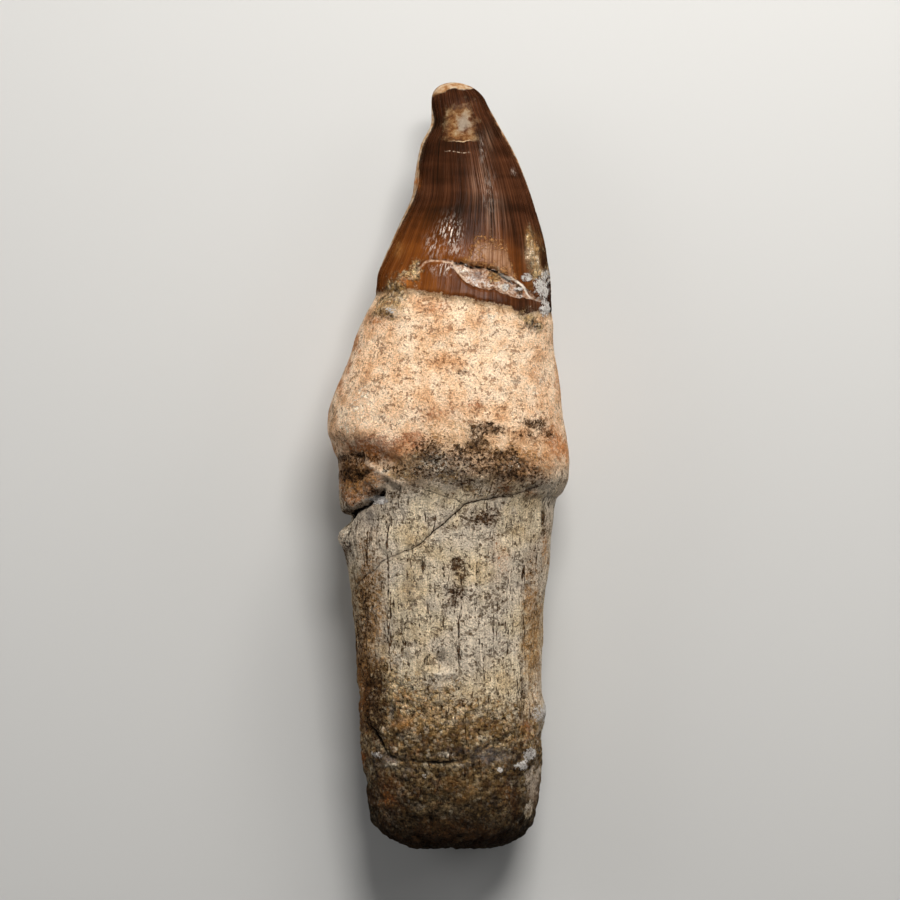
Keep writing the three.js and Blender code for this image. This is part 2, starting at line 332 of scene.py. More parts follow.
@dataclass
class Blank:
    """The plain tooth before any carving, raised ring by ring from a small disc."""

    tip_y: float = 62.5
    end_y: float = -62.5
    tip: Cap = Cap(3.1, 5.0, 3, 2.0)
    end: Cap = Cap(7.6, 14.0, 5, 3.1)
    crown_squareness: float = 1.9
    root_squareness: float = 2.25
    sides: int = 32
    steps: int = 64  # how finely the outline is followed from one ring to the next
    levels: int = 3
    crowding: float = 0.25  # the upper face's columns lie this much closer together
    spans: tuple[Span, ...] = (
        Span(-42.0, 5), Span(-14.0, 8), Span(4.0, 7), Span(24.0, 6), Span(35.0, 4), Span(59.4, 7),
    )

    def profile(self) -> tuple[np.ndarray, np.ndarray, np.ndarray]:
        """Follows the tooth in fine steps from the root's end to the tip.

        Returns:
            Ring number, y and share of the section at each step.
        """
        depth, share = self.end.closing(self.steps)
        heights, shares = [self.end_y + depth], [share]
        start = self.end_y + self.end.rounding
        for span in self.spans:
            stretch = np.linspace(start, span.to, span.rings * self.steps + 1)[1:]
            heights.append(stretch)
            shares.append(np.ones(len(stretch)))
            start = span.to
        depth, share = self.tip.closing(self.steps)
        heights.append(self.tip_y - depth[::-1][1:])
        shares.append(share[::-1][1:])
        height = np.concatenate(heights)
        return np.arange(len(height)) / self.steps, height, np.concatenate(shares)

    def raise_rings(self) -> bpy.types.Object:
        """Draws the blank up from a disc at the root's end, one extruded ring after another.

        Returns:
            The coarse cage, marked for settling.
        """
        height, share = (values[:: self.steps] for values in self.profile()[1:])
        left, right = LEFT_EDGE.at(height), RIGHT_EDGE.at(height)
        back, front = BACK_EDGE.at(height), FRONT_EDGE.at(height)
        middle = np.stack([(left + right) / 2, height, (back + front) / 2], axis=1) * MM
        half = np.stack([(right - left) / 2, np.ones(len(height)), (front - back) / 2], axis=1)
        half[:, [0, 2]] *= share[:, None] * MM

        bpy.ops.object.select_all(action="DESELECT")
        bpy.ops.mesh.primitive_circle_add(
            vertices=self.sides, radius=1.0, fill_type="TRIFAN", rotation=(math.pi / 2, 0, 0)
        )
        blank = bpy.context.object
        bpy.ops.object.transform_apply(location=True, rotation=True, scale=True)
        bpy.ops.object.mode_set(mode="EDIT")
        bpy.ops.mesh.select_all(action="SELECT")
        bpy.ops.transform.resize(value=(half[1][0], 1, half[1][2]), center_override=(0, 0, 0))
        bpy.ops.transform.translate(value=middle[1])
        for i in range(2, len(height) - 1):
            bpy.ops.mesh.extrude_region_move(TRANSFORM_OT_translate={"value": middle[i] - middle[i - 1]})
            wider, taller = half[i][0] / half[i - 1][0], half[i][2] / half[i - 1][2]
            bpy.ops.transform.resize(value=(wider, 1, taller), center_override=middle[i])
        bpy.ops.mesh.select_all(action="SELECT")
        bpy.ops.mesh.normals_make_consistent(inside=False)
        bpy.ops.object.mode_set(mode="OBJECT")
        self.mark(blank, middle, half)
        return blank

    def mark(self, blank: bpy.types.Object, middle: np.ndarray, half: np.ndarray) -> None:
        """Notes on each point of the cage which ring it is on and which way it faces.

        Args:
            blank: The cage, as extruded.
            middle: Each ring's middle, in metres.
            half: Each ring's half width and half depth, in metres.
        """
        count = len(blank.data.vertices)
        place = np.empty(count * 3)
        blank.data.vertices.foreach_get("co", place)
        place = place.reshape(-1, 3)
        inner = middle[1:-1, 1]
        ring = np.abs(place[:, 1:2] - inner).argmin(1) + 1
        way = (place - middle[ring])[:, [0, 2]] / half[ring][:, [0, 2]]
        pole = np.hypot(*way.T) < 0.5
        ring = np.where(pole, np.where(ring == 1, 0, len(middle) - 1), ring)
        for name, values in (("ring", ring), ("east", way[:, 0]), ("up", way[:, 1])):
            attribute = blank.data.attributes.new(name, "FLOAT", "POINT")
            attribute.data.foreach_set("value", values.astype(np.float32))

    def refine(self, blank: bpy.types.Object) -> None:
        """Subdivides the cage finely enough to be carved.

        Args:
            blank: The cage.
        """
        smooth = blank.modifiers.new("fine mesh", "SUBSURF")
        smooth.levels = smooth.render_levels = self.levels
        bpy.context.view_layer.objects.active = blank
        bpy.ops.object.modifier_apply(modifier=smooth.name)

    def settle(self, blank: bpy.types.Object) -> Skin:
        """Works out where each point lies on the tooth's true outlines.

        Args:
            blank: The subdivided cage, with its marks.

        Returns:
            The surface before carving.
        """
        count = len(blank.data.vertices)
        ring, east, up = (np.empty(count, np.float32) for _ in range(3))
        for name, values in (("ring", ring), ("east", east), ("up", up)):
            blank.data.attributes[name].data.foreach_get("value", values)
            blank.data.attributes.remove(blank.data.attributes[name])
        angle = np.arctan2(up, east).astype(float)
        angle = angle + self.crowding * np.cos(angle)
        rings, heights, shares = self.profile()
        y, share = np.interp(ring, rings, heights), np.interp(ring, rings, shares)
        left, right, front, back = (e.at(y) for e in (LEFT_EDGE, RIGHT_EDGE, FRONT_EDGE, BACK_EDGE))
        crown = ease(y, 20, 34)
        power = 2 / (self.root_squareness + (self.crown_squareness - self.root_squareness) * crown)
        east, up = (np.sign(v) * np.abs(v) ** power for v in (np.cos(angle), np.sin(angle)))
        x = (left + right) / 2 + east * share * (right - left) / 2
        z = (front + back) / 2 + up * share * (front - back) / 2
        return Skin(np.stack([x, y, z], axis=1), angle, share, ring.astype(float))


# ---- Marks on the tooth ---------------------------------------------------------------------------------

FAR_OUTSIDE = -5.0  # a measure's value on the face that its mark isn't on


class Face(Enum):
    """Which face of the lying tooth a mark is on."""

    UPPER = "upper"
    UNDER = "under"

    def share(self, skin: Skin) -> np.ndarray:
        """1 on this face of the skin, 0 on the other."""
        return skin.upper if self is Face.UPPER else ease(-np.sin(skin.angle), 0.1, 0.4)


@dataclass(frozen=True)
class Spot:
    """A soft oval place: its middle, its half width and half length, its strength and its face."""

    x: float
    y: float
    wide: float
    long: float
    strength: float = 1.0
    face: Face = Face.UPPER

    def on(self, skin: Skin) -> np.ndarray:
        """How strongly the spot shows.

        Args:
            skin: The surface.

        Returns:
            A strength at each point.
        """
        reach = min(1.2, 0.6 * min(self.wide, self.long))
        across = (skin.x - self.x + reach * skin.sway[0]) / self.wide
        along = (skin.y - self.y + reach * skin.sway[1]) / self.long
        return self.strength * bell(np.hypot(across, along)) * self.face.share(skin)


def spots(*rows: tuple[float, ...], face: Face = Face.UPPER) -> tuple[Spot, ...]:
    """Spots on one face, from rows of x, y, half width, half length and strength."""
    return tuple(Spot(*row, face=face) for row in rows)


def gathered(group: Sequence[Spot], skin: Skin) -> np.ndarray:
    """The strongest of several spots at each point of the skin."""
    return np.max([spot.on(skin) for spot in group], axis=0)


def summed(group: Sequence[Spot], skin: Skin) -> np.ndarray:
    """Several spots added together at each point of the skin."""
    return np.sum([spot.on(skin) for spot in group], axis=0)


@dataclass(frozen=True)
class Crack:
    """A crack that runs from left to right across a face.

    Attributes:
        path: Its (x, y) points.
        depth: How deep it is: 0 where it is only painted, below 0 for a raised seam.
        half_width: Half its width.
        face: The face that it is on.
        heft: How marked it is from left to right, as (x, share) points.
    """

    path: Points
    depth: float
    half_width: float
    face: Face = Face.UPPER
    heft: Points = ((0.0, 1.0), (1.0, 1.0))

    def side(self, skin: Skin) -> np.ndarray:
        """How far the surface lies from the crack's line.

        Args:
            skin: The surface.

        Returns:
            The distance at each point, positive on the crack's crown side.
        """
        start, end = np.array(self.path[:-1]), np.array(self.path[1:])
        way = end - start
        point = (skin.seen + 0.35 * skin.sway.T)[:, None]
        along = ((point - start) * way).sum(2) / (way * way).sum(1)
        nearest = start + np.clip(along, 0, 1)[..., None] * way
        distance = np.hypot(*np.moveaxis(point - nearest, 2, 0)).min(1)
        line_x, line_y = np.array(sorted(self.path)).T
        across, along = point[:, 0].T
        return distance * np.sign(along - np.interp(across, line_x, line_y) + 1e-9)

    def present(self, skin: Skin) -> np.ndarray:
        """How marked the crack is, falling to 0 past its ends.

        Args:
            skin: The surface.

        Returns:
            A share at each point.
        """
        start, *_, end = sorted(x for x, _ in self.path)
        inside = ease(skin.x, start - 0.5, start + 0.8) * (1 - ease(skin.x, end - 0.8, end + 0.5))
        return inside * self.face.share(skin) * Line(self.heft).at(skin.x)

    def cut(self, skin: Skin) -> np.ndarray:
        """How deep the crack is at each point, below 0."""
        return -self.depth * bell(self.side(skin) / self.half_width) * self.present(skin)


CROWN_CRACK = Crack(
    ((-6.4, 30.6), (-5.2, 32.3), (-4.1, 33.4), (-3.1, 33.7), (-1.4, 33.5), (0.4, 33.1), (1.8, 32.9),
     (3.8, 32.3), (6.4, 31.9), (7.7, 31.6), (8.9, 31.0), (10.7, 29.8), (12.0, 29.3), (13.6, 28.2),
     (14.3, 27.2)),
    0.4, 0.3, heft=((-6.4, 0.3), (-3.0, 0.5), (0.0, 0.6), (2.5, 1.0), (9.0, 1.0), (12.0, 0.5), (14.3, 0.2)),
)
FLAKE_FOOT = Line((
    (-1.0, 33.4), (0.4, 32.9), (1.4, 31.3), (2.6, 30.0), (3.8, 29.1), (5.9, 28.6), (7.7, 28.4),
    (9.3, 27.7), (10.7, 27.2), (13.4, 26.8), (15.5, 26.2),
))
FLAKE_HEAD = Line(CROWN_CRACK.path)
FILM_HEAD = Line((
    (2.9, 32.2), (3.5, 34.4), (4.6, 36.0), (5.9, 36.6), (7.8, 36.2), (9.4, 35.0), (10.4, 32.4), (10.9, 29.8),
))
SCRATCH = Crack(((-0.6, 51.05), (3.4, 50.95)), 0.05, 0.2)
HAIRLINE = Crack(
    ((-15.9, -21.6), (-15.5, -20.5), (-14.0, -18.9), (-12.4, -17.4), (-10.8, -15.8), (-9.3, -15.2),
     (-7.4, -14.5), (-5.8, -13.8), (-4.3, -12.7), (-2.4, -11.1), (-0.8, -9.8), (0.7, -8.3), (2.6, -6.9),
     (3.8, -6.4), (5.1, -6.1), (8.3, -5.5), (10.1, -5.1), (12.6, -4.5), (14.5, -4.0)),
    0.22, 0.3,
    heft=((-15.9, 0.7), (-7.0, 0.85), (-2.0, 1.4), (2.6, 1.6), (6.0, 1.1), (14.5, 0.8)),
)
SECOND_HAIRLINE = Crack(((-4.4, -4.4), (-2.6, -4.9), (0.6, -5.7), (2.6, -6.9)), 0.12, 0.28)
HAIRLINE_SPUR = Crack(((2.6, -8.7), (2.8, -6.9)), 0.12, 0.25)
BROKEN_COLLAR = Crack(((-18.0, -9.7), (-17.0, -9.2), (-14.6, -7.5), (-12.2, -5.9), (-10.3, -4.5)), 1.4, 0.55)
FISSURE = Crack(((-9.0, -35.9), (-7.4, -36.1), (-6.2, -36.0)), 0.2, 0.3)
ROOT_END_CRACK = Crack(
    ((-13.4, -41.5), (-12.0, -43.6), (-11.0, -45.2), (-9.3, -47.7), (-7.4, -48.4), (-4.2, -48.5),
     (-1.4, -48.8), (1.9, -48.6), (3.8, -48.2), (5.2, -46.9), (6.6, -45.8), (8.4, -45.1), (11.2, -43.6)),
    0.5, 0.34,
    heft=((-13.4, 0.4), (-11.6, 1.0), (-9.9, 0.9), (-8.4, 0.5), (-4.0, 0.5), (-2.6, 1.0), (1.0, 0.9),
          (2.8, 0.4), (5.0, 0.35), (7.4, 0.7), (9.6, 0.6), (11.2, 0.2)),
)
CRYSTAL_VEIN = Crack(
    ((8.6, 31.1), (9.9, 30.5), (11.1, 30.1), (11.9, 29.5), (13.0, 28.4), (13.9, 27.1)), 0.0, 0.3,
    heft=((8.6, 0.5), (11.1, 0.6), (11.8, 1.0), (13.9, 1.0)),
)
CRYSTAL_SHARD = Crack(((0.3, 33.1), (1.0, 32.0), (2.0, 30.9), (3.1, 29.7)), 0.0, 0.3)
UNDER_CRACK = Crack(
    ((-15.0, -26.0), (-10.6, -24.2), (-6.0, -24.6), (-1.2, -22.4), (4.8, -22.9), (9.0, -20.6), (14.6, -20.9)),
    0.35, 0.35, Face.UNDER,
)
COLLAR_SEAM = Crack(((-14.2, 0.6), (-12.7, -0.2), (-11.0, -1.4), (-8.8, -2.8), (-7.2, -3.4)), -0.5, 0.4)
DISH_LIP = Crack(((-4.7, -33.2), (-3.6, -34.2), (-2.4, -34.6), (0.3, -34.5), (1.2, -34.0)), -0.4, 0.4)
END_LIP = Crack(
    ((-12.2, -47.2), (-9.6, -49.0), (-7.4, -49.5), (-4.2, -49.5), (-1.4, -49.9), (1.9, -49.6)), -0.16, 0.5,
)

CRACKS = {
    "scratch": SCRATCH, "hairline": HAIRLINE, "second": SECOND_HAIRLINE, "spur": HAIRLINE_SPUR,
    "slot": BROKEN_COLLAR, "fissure": FISSURE, "end_crack": ROOT_END_CRACK, "under_crack": UNDER_CRACK,
    "vein": CRYSTAL_VEIN, "shard": CRYSTAL_SHARD, "crest": COLLAR_SEAM,
}

# Lumps and hollows: the strength is a height, below 0 in a hollow.
HUMPS = spots(
    # the hollows under the collar's left shoulder
    (-15.0, 0.7, 2.2, 0.7, -1.0), (-14.9, -1.9, 1.7, 1.0, -1.6),
    # the broken chunks between and below them
    (-12.4, -3.0, 1.5, 1.5, 0.5), (-15.9, -5.8, 1.7, 1.5, 0.6), (-17.6, -9.8, 0.8, 0.7, -0.6),
    (-17.2, -12.2, 1.1, 1.4, 0.8),
    # a knob at the root's right edge
    (15.0, -40.8, 1.3, 1.9, 0.6),
    # a shallow dish
    (-0.6, -32.4, 2.2, 1.4, -0.6),
    # knobs on the root's left
    (-7.3, -42.4, 1.9, 1.3, 0.6), (-13.6, -48.0, 0.9, 1.6, 0.4),
    # dents and swells down the root
    (1.4, -22.4, 2.0, 1.6, -0.25), (1.7, -17.2, 1.2, 1.8, -0.3), (-4.2, -16.8, 0.6, 1.2, -0.3),
    (-12.0, -38.0, 1.7, 6.0, -0.4), (11.0, -54.4, 0.9, 4.6, -0.5), (7.4, -48.0, 3.2, 1.3, -0.35),
    (-6.8, -52.8, 2.6, 2.0, 0.4), (3.4, -53.6, 3.0, 2.0, 0.3), (14.2, -52.5, 1.6, 5.0, 0.3),
    # rock beside the crown's crack
    (14.3, 34.0, 1.2, 3.0, 0.25), (14.6, 29.2, 1.8, 1.8, 0.3), (-8.0, 29.6, 1.8, 1.8, 0.35),
    (-9.8, 25.8, 1.9, 2.2, 0.35), (13.8, 23.2, 1.9, 1.5, 0.3),
    # dents and swells on the collar
    (2.0, 14.8, 1.0, 0.6, -0.25), (-4.2, 2.0, 3.0, 2.0, 0.35), (5.0, 3.6, 2.2, 1.4, -0.45),
    (9.6, 0.6, 2.2, 1.8, -0.4),
) + spots(
    (-6.0, -8.0, 3.5, 4.0, 0.5), (7.5, 12.0, 4.0, 3.2, -0.5), (-6.5, 19.0, 3.0, 5.0, -0.4),
    (9.5, -34.0, 3.0, 6.0, 0.4),
    face=Face.UNDER,
)


class Tone(Enum):
    """A stain or mineral that the finish lays over the surface, with the measure that carries it; a few spots
    are painted shade or painted highlight instead.
    """

    RUST = "rust"
    BLUSH = "blush"
    UMBER = "umber"
    PALE = "pale"
    SMOKE = "smoke"
    SAND = "sand"
    CALCITE = "calcite"
    DASH = "dash"


STAINS: dict[Tone, tuple[Spot, ...]] = {
    Tone.RUST: spots(
        (-11.8, 23.0, 2.6, 2.8, 0.8), (-6.8, 30.4, 1.8, 2.0, 0.9), (-5.3, 45.8, 0.7, 1.2, 1.0),
        (-15.0, 19.6, 0.9, 2.4, 1.3), (-16.4, 15.8, 0.8, 2.2, 1.2), (-17.6, 12.6, 0.7, 2.0, 1.2),
        (-1.4, 25.9, 2.8, 1.2, 0.5), (17.8, 13.6, 0.9, 3.6, 0.8), (17.4, 3.6, 2.2, 2.8, 1.8),
        (16.2, 4.2, 2.4, 2.0, 0.9), (-15.4, -5.1, 2.2, 1.5, 1.6), (-12.4, -2.8, 1.8, 1.4, 0.7),
        (-17.0, -12.3, 0.9, 1.7, 0.8), (8.3, -15.0, 2.0, 3.4, 0.7), (15.7, -13.4, 0.7, 2.4, 0.8),
        (9.2, -3.8, 2.6, 1.1, 0.9), (13.2, -5.0, 2.0, 0.8, 0.8), (12.0, 0.2, 5.0, 3.0, 1.5),
        (-13.6, -36.0, 1.3, 8.0, 1.3), (-13.8, -20.0, 1.4, 8.0, 0.5), (-7.3, -42.5, 1.9, 1.1, 0.8),
        (-13.6, -48.0, 0.8, 1.5, 1.2), (-9.6, -53.8, 2.0, 3.4, 0.8), (9.4, -42.4, 2.6, 1.4, 0.35),
        (9.5, -53.4, 1.6, 3.0, 0.55), (0.5, -40.5, 6.5, 2.2, 0.3), (-12.8, -27.0, 1.6, 6.0, 0.55),
        (12.6, -43.0, 1.0, 2.4, 0.8), (7.6, 30.6, 1.6, 0.9, 1.1), (12.6, 28.2, 1.0, 0.7, 0.9),
        (-3.4, 0.4, 3.0, 1.2, 0.4), (-14.8, -2.4, 4.0, 3.6, 1.7), (-13.4, 1.8, 4.0, 1.6, 1.4),
        (-6.6, 2.2, 4.0, 1.6, 0.6),
    ) + spots(
        (6.0, 20.0, 6.0, 3.0, 0.7), (-9.0, 6.0, 4.0, 5.0, 0.7), (4.0, -18.0, 5.0, 4.0, 0.6),
        (-5.0, -38.0, 4.0, 6.0, 0.8), (11.0, -8.0, 2.5, 4.0, 0.8),
        face=Face.UNDER,
    ),
    Tone.BLUSH: spots(
        (-2.2, 25.4, 3.2, 1.6, 0.8), (-2.0, 22.4, 5.0, 2.0, 0.4), (4.2, 9.6, 1.9, 1.3, 1.0),
        # the spots on this line are partly a reddish stain and partly painted shade under the collar's ledge
        (-12.5, 2.8, 5.0, 1.7, 2.0), (-6.4, 3.8, 4.0, 1.4, 1.5), (-9.0, 1.2, 3.4, 1.4, 1.5),
        (5.0, 19.4, 1.6, 1.2, 0.5), (-5.0, 13.0, 5.5, 2.4, 0.35), (-1.0, 7.8, 5.5, 2.4, 0.8),
        (14.6, 9.6, 1.8, 2.4, 0.5), (-14.6, 10.0, 1.4, 1.0, 0.5), (11.0, -0.6, 5.0, 2.6, 0.9),
    ) + spots(
        (-4.0, 12.0, 7.0, 3.0, 0.6), (6.0, -4.0, 6.0, 3.0, 0.8),
        face=Face.UNDER,
    ),
    Tone.UMBER: spots(
        (-3.4, 2.0, 3.2, 2.2, 1.3), (-1.0, -0.6, 4.6, 1.8, 1.1), (-7.2, -1.6, 2.8, 1.4, 0.85),
        (3.2, -3.0, 3.0, 1.6, 0.8), (10.6, -1.0, 5.0, 2.7, 1.05), (9.3, 1.2, 2.4, 1.6, 1.3),
        (13.4, -2.2, 1.6, 1.2, 0.3), (6.2, 5.6, 2.8, 1.2, 1.5), (4.8, 2.8, 2.8, 2.0, 1.5),
        # (-16.2, 0.5), (-15.6, -2.0) and (-16.4, -0.6) are partly stain and partly painted shade under the
        # left shoulder
        (14.3, 6.2, 2.0, 0.9, 1.4), (16.0, 4.8, 1.6, 0.9, 1.1), (-16.2, 0.5, 3.4, 1.0, 1.4),
        (-15.6, -2.0, 3.0, 1.3, 1.3), (-16.7, -7.9, 1.9, 1.2, 1.2), (-9.4, -0.8, 2.4, 0.8, 0.7),
        (-14.0, -26.0, 2.8, 14.0, 0.8), (-11.6, -4.6, 3.0, 1.6, 0.7), (-14.8, -5.6, 3.0, 2.4, 0.45),
        (13.8, -26.0, 1.6, 14.0, 0.75), (-11.9, -38.5, 2.1, 7.0, 1.5), (-16.4, -0.6, 1.6, 2.6, 1.3),
        (1.92, 14.84, 0.9, 0.5, 1.2), (1.7, -17.2, 1.2, 2.0, 1.5), (1.1, -21.8, 2.2, 1.5, 1.3),
        (-4.2, -16.8, 0.5, 1.0, 1.0), (-6.6, -15.8, 0.4, 0.6, 0.9), (15.4, -10.9, 0.9, 1.9, 0.9),
        (5.9, -8.8, 2.6, 1.8, 1.3), (1.2, -10.3, 1.0, 0.6, 0.8), (9.0, -4.8, 3.0, 1.4, 0.6),
        (-11.8, -36.0, 1.6, 4.4, 0.9), (-11.4, -42.0, 2.0, 2.6, 1.0), (-5.8, -41.1, 1.4, 0.9, 0.6),
        (2.7, -39.0, 1.6, 1.3, 0.6), (6.3, -41.6, 1.5, 0.7, 0.6), (8.9, -45.2, 2.2, 0.5, 0.8),
        (11.0, -54.5, 0.9, 4.2, 1.0), (13.9, 22.4, 2.0, 0.7, 0.8), (-9.3, 23.9, 2.4, 0.8, 0.7),
        (-12.8, 22.9, 1.0, 0.7, 0.6), (11.9, 28.5, 0.6, 0.8, 2.2), (13.5, 29.0, 0.5, 0.7, 1.8),
        (-6.2, -3.4, 2.0, 0.8, 0.6), (-4.0, -1.4, 3.2, 1.4, 1.3), (-9.0, -5.2, 1.1, 0.8, 0.7),
        (8.0, -3.0, 2.4, 0.8, 0.6), (12.0, -37.6, 0.7, 3.6, 0.9), (-2.1, -28.2, 0.8, 1.2, 0.7),
        (-12.6, -31.0, 1.8, 5.0, 0.6), (12.6, 4.6, 2.6, 1.4, 0.7), (-12.0, 0.6, 3.4, 0.7, 0.7),
        (-16.9, -16.8, 0.6, 3.2, 0.9), (-4.4, -24.0, 0.5, 0.9, 0.5), (-0.4, -32.6, 1.8, 1.2, 0.4),
        # (0.0, -60.6) and (-9.0, -58.4) are painted shade: they darken the root's end, where the light falls
        # off
        (-11.6, -44.6, 1.3, 1.8, 1.1), (-12.4, -54.2, 1.4, 2.0, 1.0), (0.0, -60.6, 16.0, 2.6, 1.0),
        (-9.0, -58.4, 4.0, 2.0, 0.6), (-16.8, -14.5, 0.8, 3.4, 0.8),
    ) + spots(
        (-8.0, -2.0, 4.0, 3.0, 0.9), (8.0, 2.0, 5.0, 2.5, 0.9), (0.0, -30.0, 3.0, 9.0, 0.7),
        (8.0, -48.0, 5.0, 4.0, 0.8), (-10.0, -14.0, 2.0, 6.0, 0.8),
        face=Face.UNDER,
    ),
    Tone.PALE: spots(
        # the first spot, at (-16.4, 6.1), is a painted highlight on the lit top of the left shoulder
        (-16.4, 6.1, 1.7, 1.3, 1.0), (-7.8, 27.3, 1.6, 0.9, 0.8), (8.6, 17.6, 3.6, 3.4, 0.6),
        (9.5, 29.0, 0.9, 0.8, 1.2), (2.6, 31.6, 1.2, 0.6, 0.8), (-2.0, -0.6, 6.0, 3.4, 0.75),
        (11.0, -0.6, 6.0, 3.4, 0.45), (3.0, 4.0, 4.0, 2.4, 0.5), (-9.0, -3.4, 3.0, 1.8, 0.7),
        (-17.3, -12.0, 1.1, 1.5, 2.4), (13.6, 34.2, 1.0, 2.6, 0.7), (14.0, 20.0, 2.4, 5.0, 0.6),
        (-9.6, 25.4, 1.6, 1.8, 0.6), (14.6, 33.0, 0.6, 2.0, 0.6), (-8.0, 18.0, 5.0, 3.0, 0.4),
        (7.4, 23.6, 3.6, 1.6, 0.7), (-14.0, 6.4, 2.2, 1.6, 0.8), (10.8, 12.0, 3.0, 3.0, 0.5),
        (-0.6, -34.5, 2.8, 0.4, 0.9), (-11.0, -1.4, 1.8, 0.5, 0.9), (-8.4, -2.9, 1.6, 0.4, 0.8),
        (-0.6, -47.5, 1.6, 0.4, 1.4), (1.6, -49.4, 1.6, 0.3, 1.2), (-9.4, -49.2, 2.0, 0.5, 1.0),
        (-7.4, -41.9, 1.2, 0.6, 0.5), (13.2, 0.4, 3.0, 2.2, 0.35), (3.0, -42.1, 0.35, 0.3, 1.1),
        (-14.5, 10.0, 3.2, 3.4, 0.85), (15.0, 14.0, 2.4, 4.0, 0.7), (-5.0, -5.6, 3.4, 1.2, 0.3),
    ),
    Tone.SMOKE: spots(
        (6.8, -47.6, 2.9, 1.3, 1.5), (-9.4, -48.4, 2.6, 0.9, 0.9), (2.6, -46.9, 2.0, 0.8, 0.7),
        (-13.4, -9.0, 1.8, 3.0, 0.8), (13.0, -12.5, 1.6, 3.0, 0.3), (-4.0, -19.0, 1.8, 1.2, 0.5),
        (11.0, -20.0, 2.0, 1.0, 0.6), (-6.6, -22.0, 2.4, 5.0, 0.5), (1.4, 0.4, 2.0, 1.0, 0.8),
        (10.5, -8.5, 1.0, 2.2, 0.6), (4.7, 30.5, 1.3, 0.8, 1.5), (8.4, -28.0, 2.0, 4.0, 0.5),
        (13.6, -53.0, 1.4, 4.0, 0.7), (-6.6, -50.2, 1.6, 0.8, 0.7),
    ),
    Tone.SAND: spots(
        (14.1, 34.2, 1.4, 3.2, 1.1), (13.4, 36.8, 0.9, 1.8, 1.0), (2.6, 5.4, 6.0, 2.6, 0.8),
        (-6.5, -1.0, 5.0, 3.0, 1.0), (11.0, 0.6, 6.0, 3.6, 1.1), (-15.0, -2.0, 3.0, 4.0, 1.1),
        (3.4, -4.6, 5.0, 1.8, 0.4), (-8.6, 28.4, 2.2, 2.2, 0.6), (-9.6, 25.6, 2.2, 2.0, 0.9),
        (2.9, 33.4, 1.0, 0.5, 0.9), (-8.4, 34.8, 0.9, 1.6, 0.6), (13.8, -28.0, 1.9, 13.0, 1.4),
        (-13.4, -26.0, 3.0, 14.0, 1.3), (-7.3, -42.3, 1.9, 1.3, 0.9), (-3.0, -45.0, 5.0, 1.6, 0.5),
        (4.0, -43.0, 4.0, 2.0, 0.6), (-17.3, -12.2, 0.9, 1.6, 0.9), (-12.6, -2.9, 1.5, 1.5, 0.9),
        (3.0, -53.0, 5.0, 3.0, 0.5), (14.0, -53.0, 1.8, 5.0, 0.6), (15.6, -14.0, 1.2, 6.0, 0.8),
        (15.4, 20.0, 1.4, 6.0, 0.3), (7.6, 30.9, 1.3, 0.7, 1.0), (-12.6, -24.0, 1.6, 5.0, 0.5),
    ) + spots(
        (-4.0, 30.0, 4.0, 3.0, 0.9), (5.0, -44.0, 6.0, 4.0, 0.8),
        face=Face.UNDER,
    ),
    Tone.CALCITE: spots(
        (15.2, 28.9, 1.2, 1.8, 1.1), (13.0, 30.4, 0.9, 0.7, 0.9), (15.8, 25.5, 0.8, 1.3, 1.2),
        (15.9, 28.0, 0.8, 1.2, 1.0), (9.6, 29.1, 0.6, 0.7, 0.9), (12.9, -47.3, 0.9, 0.9, 1.3),
        (15.8, 30.8, 0.6, 0.9, 0.8), (11.7, -49.3, 0.9, 0.7, 1.3), (12.4, -48.3, 0.4, 0.5, 0.7),
        (14.8, -40.9, 1.1, 1.7, 0.8), (-11.8, -6.1, 1.5, 0.6, 1.4), (-9.3, 24.9, 1.0, 0.5, 0.7),
        (-11.4, -47.6, 1.2, 0.6, 0.6), (8.2, -50.1, 0.4, 0.4, 1.0), (-3.8, -51.2, 0.5, 0.5, 0.7),
        (11.6, 28.6, 1.2, 0.4, 0.7),
    ) + spots(
        (3.0, -12.0, 1.4, 1.0, 0.9), (-7.0, 25.0, 1.4, 1.2, 0.9),
        face=Face.UNDER,
    ),
    Tone.DASH: spots(
        (-9.9, -14.0, 0.4, 6.0, 1.1), (-9.6, -28.0, 0.5, 5.0, 0.8), (-7.6, -30.0, 0.4, 3.0, 0.8),
        (-4.5, -27.4, 0.3, 1.6, 1.4), (-4.0, -15.4, 0.4, 2.0, 0.9), (1.7, -29.0, 0.35, 7.5, 1.2),
        (1.4, -18.5, 1.4, 3.4, 0.9), (4.6, -17.0, 0.4, 4.0, 0.7), (8.2, -26.5, 0.3, 2.2, 1.0),
        (6.0, -12.0, 0.5, 3.0, 0.7), (12.4, -22.0, 0.35, 17.0, 1.15), (14.5, -15.0, 0.35, 6.0, 1.0),
        (12.1, -38.0, 0.6, 4.0, 0.9), (-5.8, -32.0, 0.5, 2.6, 0.8), (-13.4, -16.0, 0.5, 5.0, 0.6),
        (10.6, -10.0, 0.4, 4.0, 0.8), (15.6, -8.0, 0.4, 4.0, 0.8), (-12.4, -24.0, 0.4, 4.0, 0.8),
        (10.8, 1.4, 0.3, 3.0, 0.6), (13.0, 2.4, 0.3, 3.6, 0.7), (14.8, 2.0, 0.3, 3.0, 0.6),
    ) + spots(
        (-6.0, -24.0, 0.4, 8.0, 0.8), (4.0, -16.0, 0.4, 8.0, 0.9), (9.0, -30.0, 0.4, 7.0, 0.9),
        face=Face.UNDER,
    ),
}
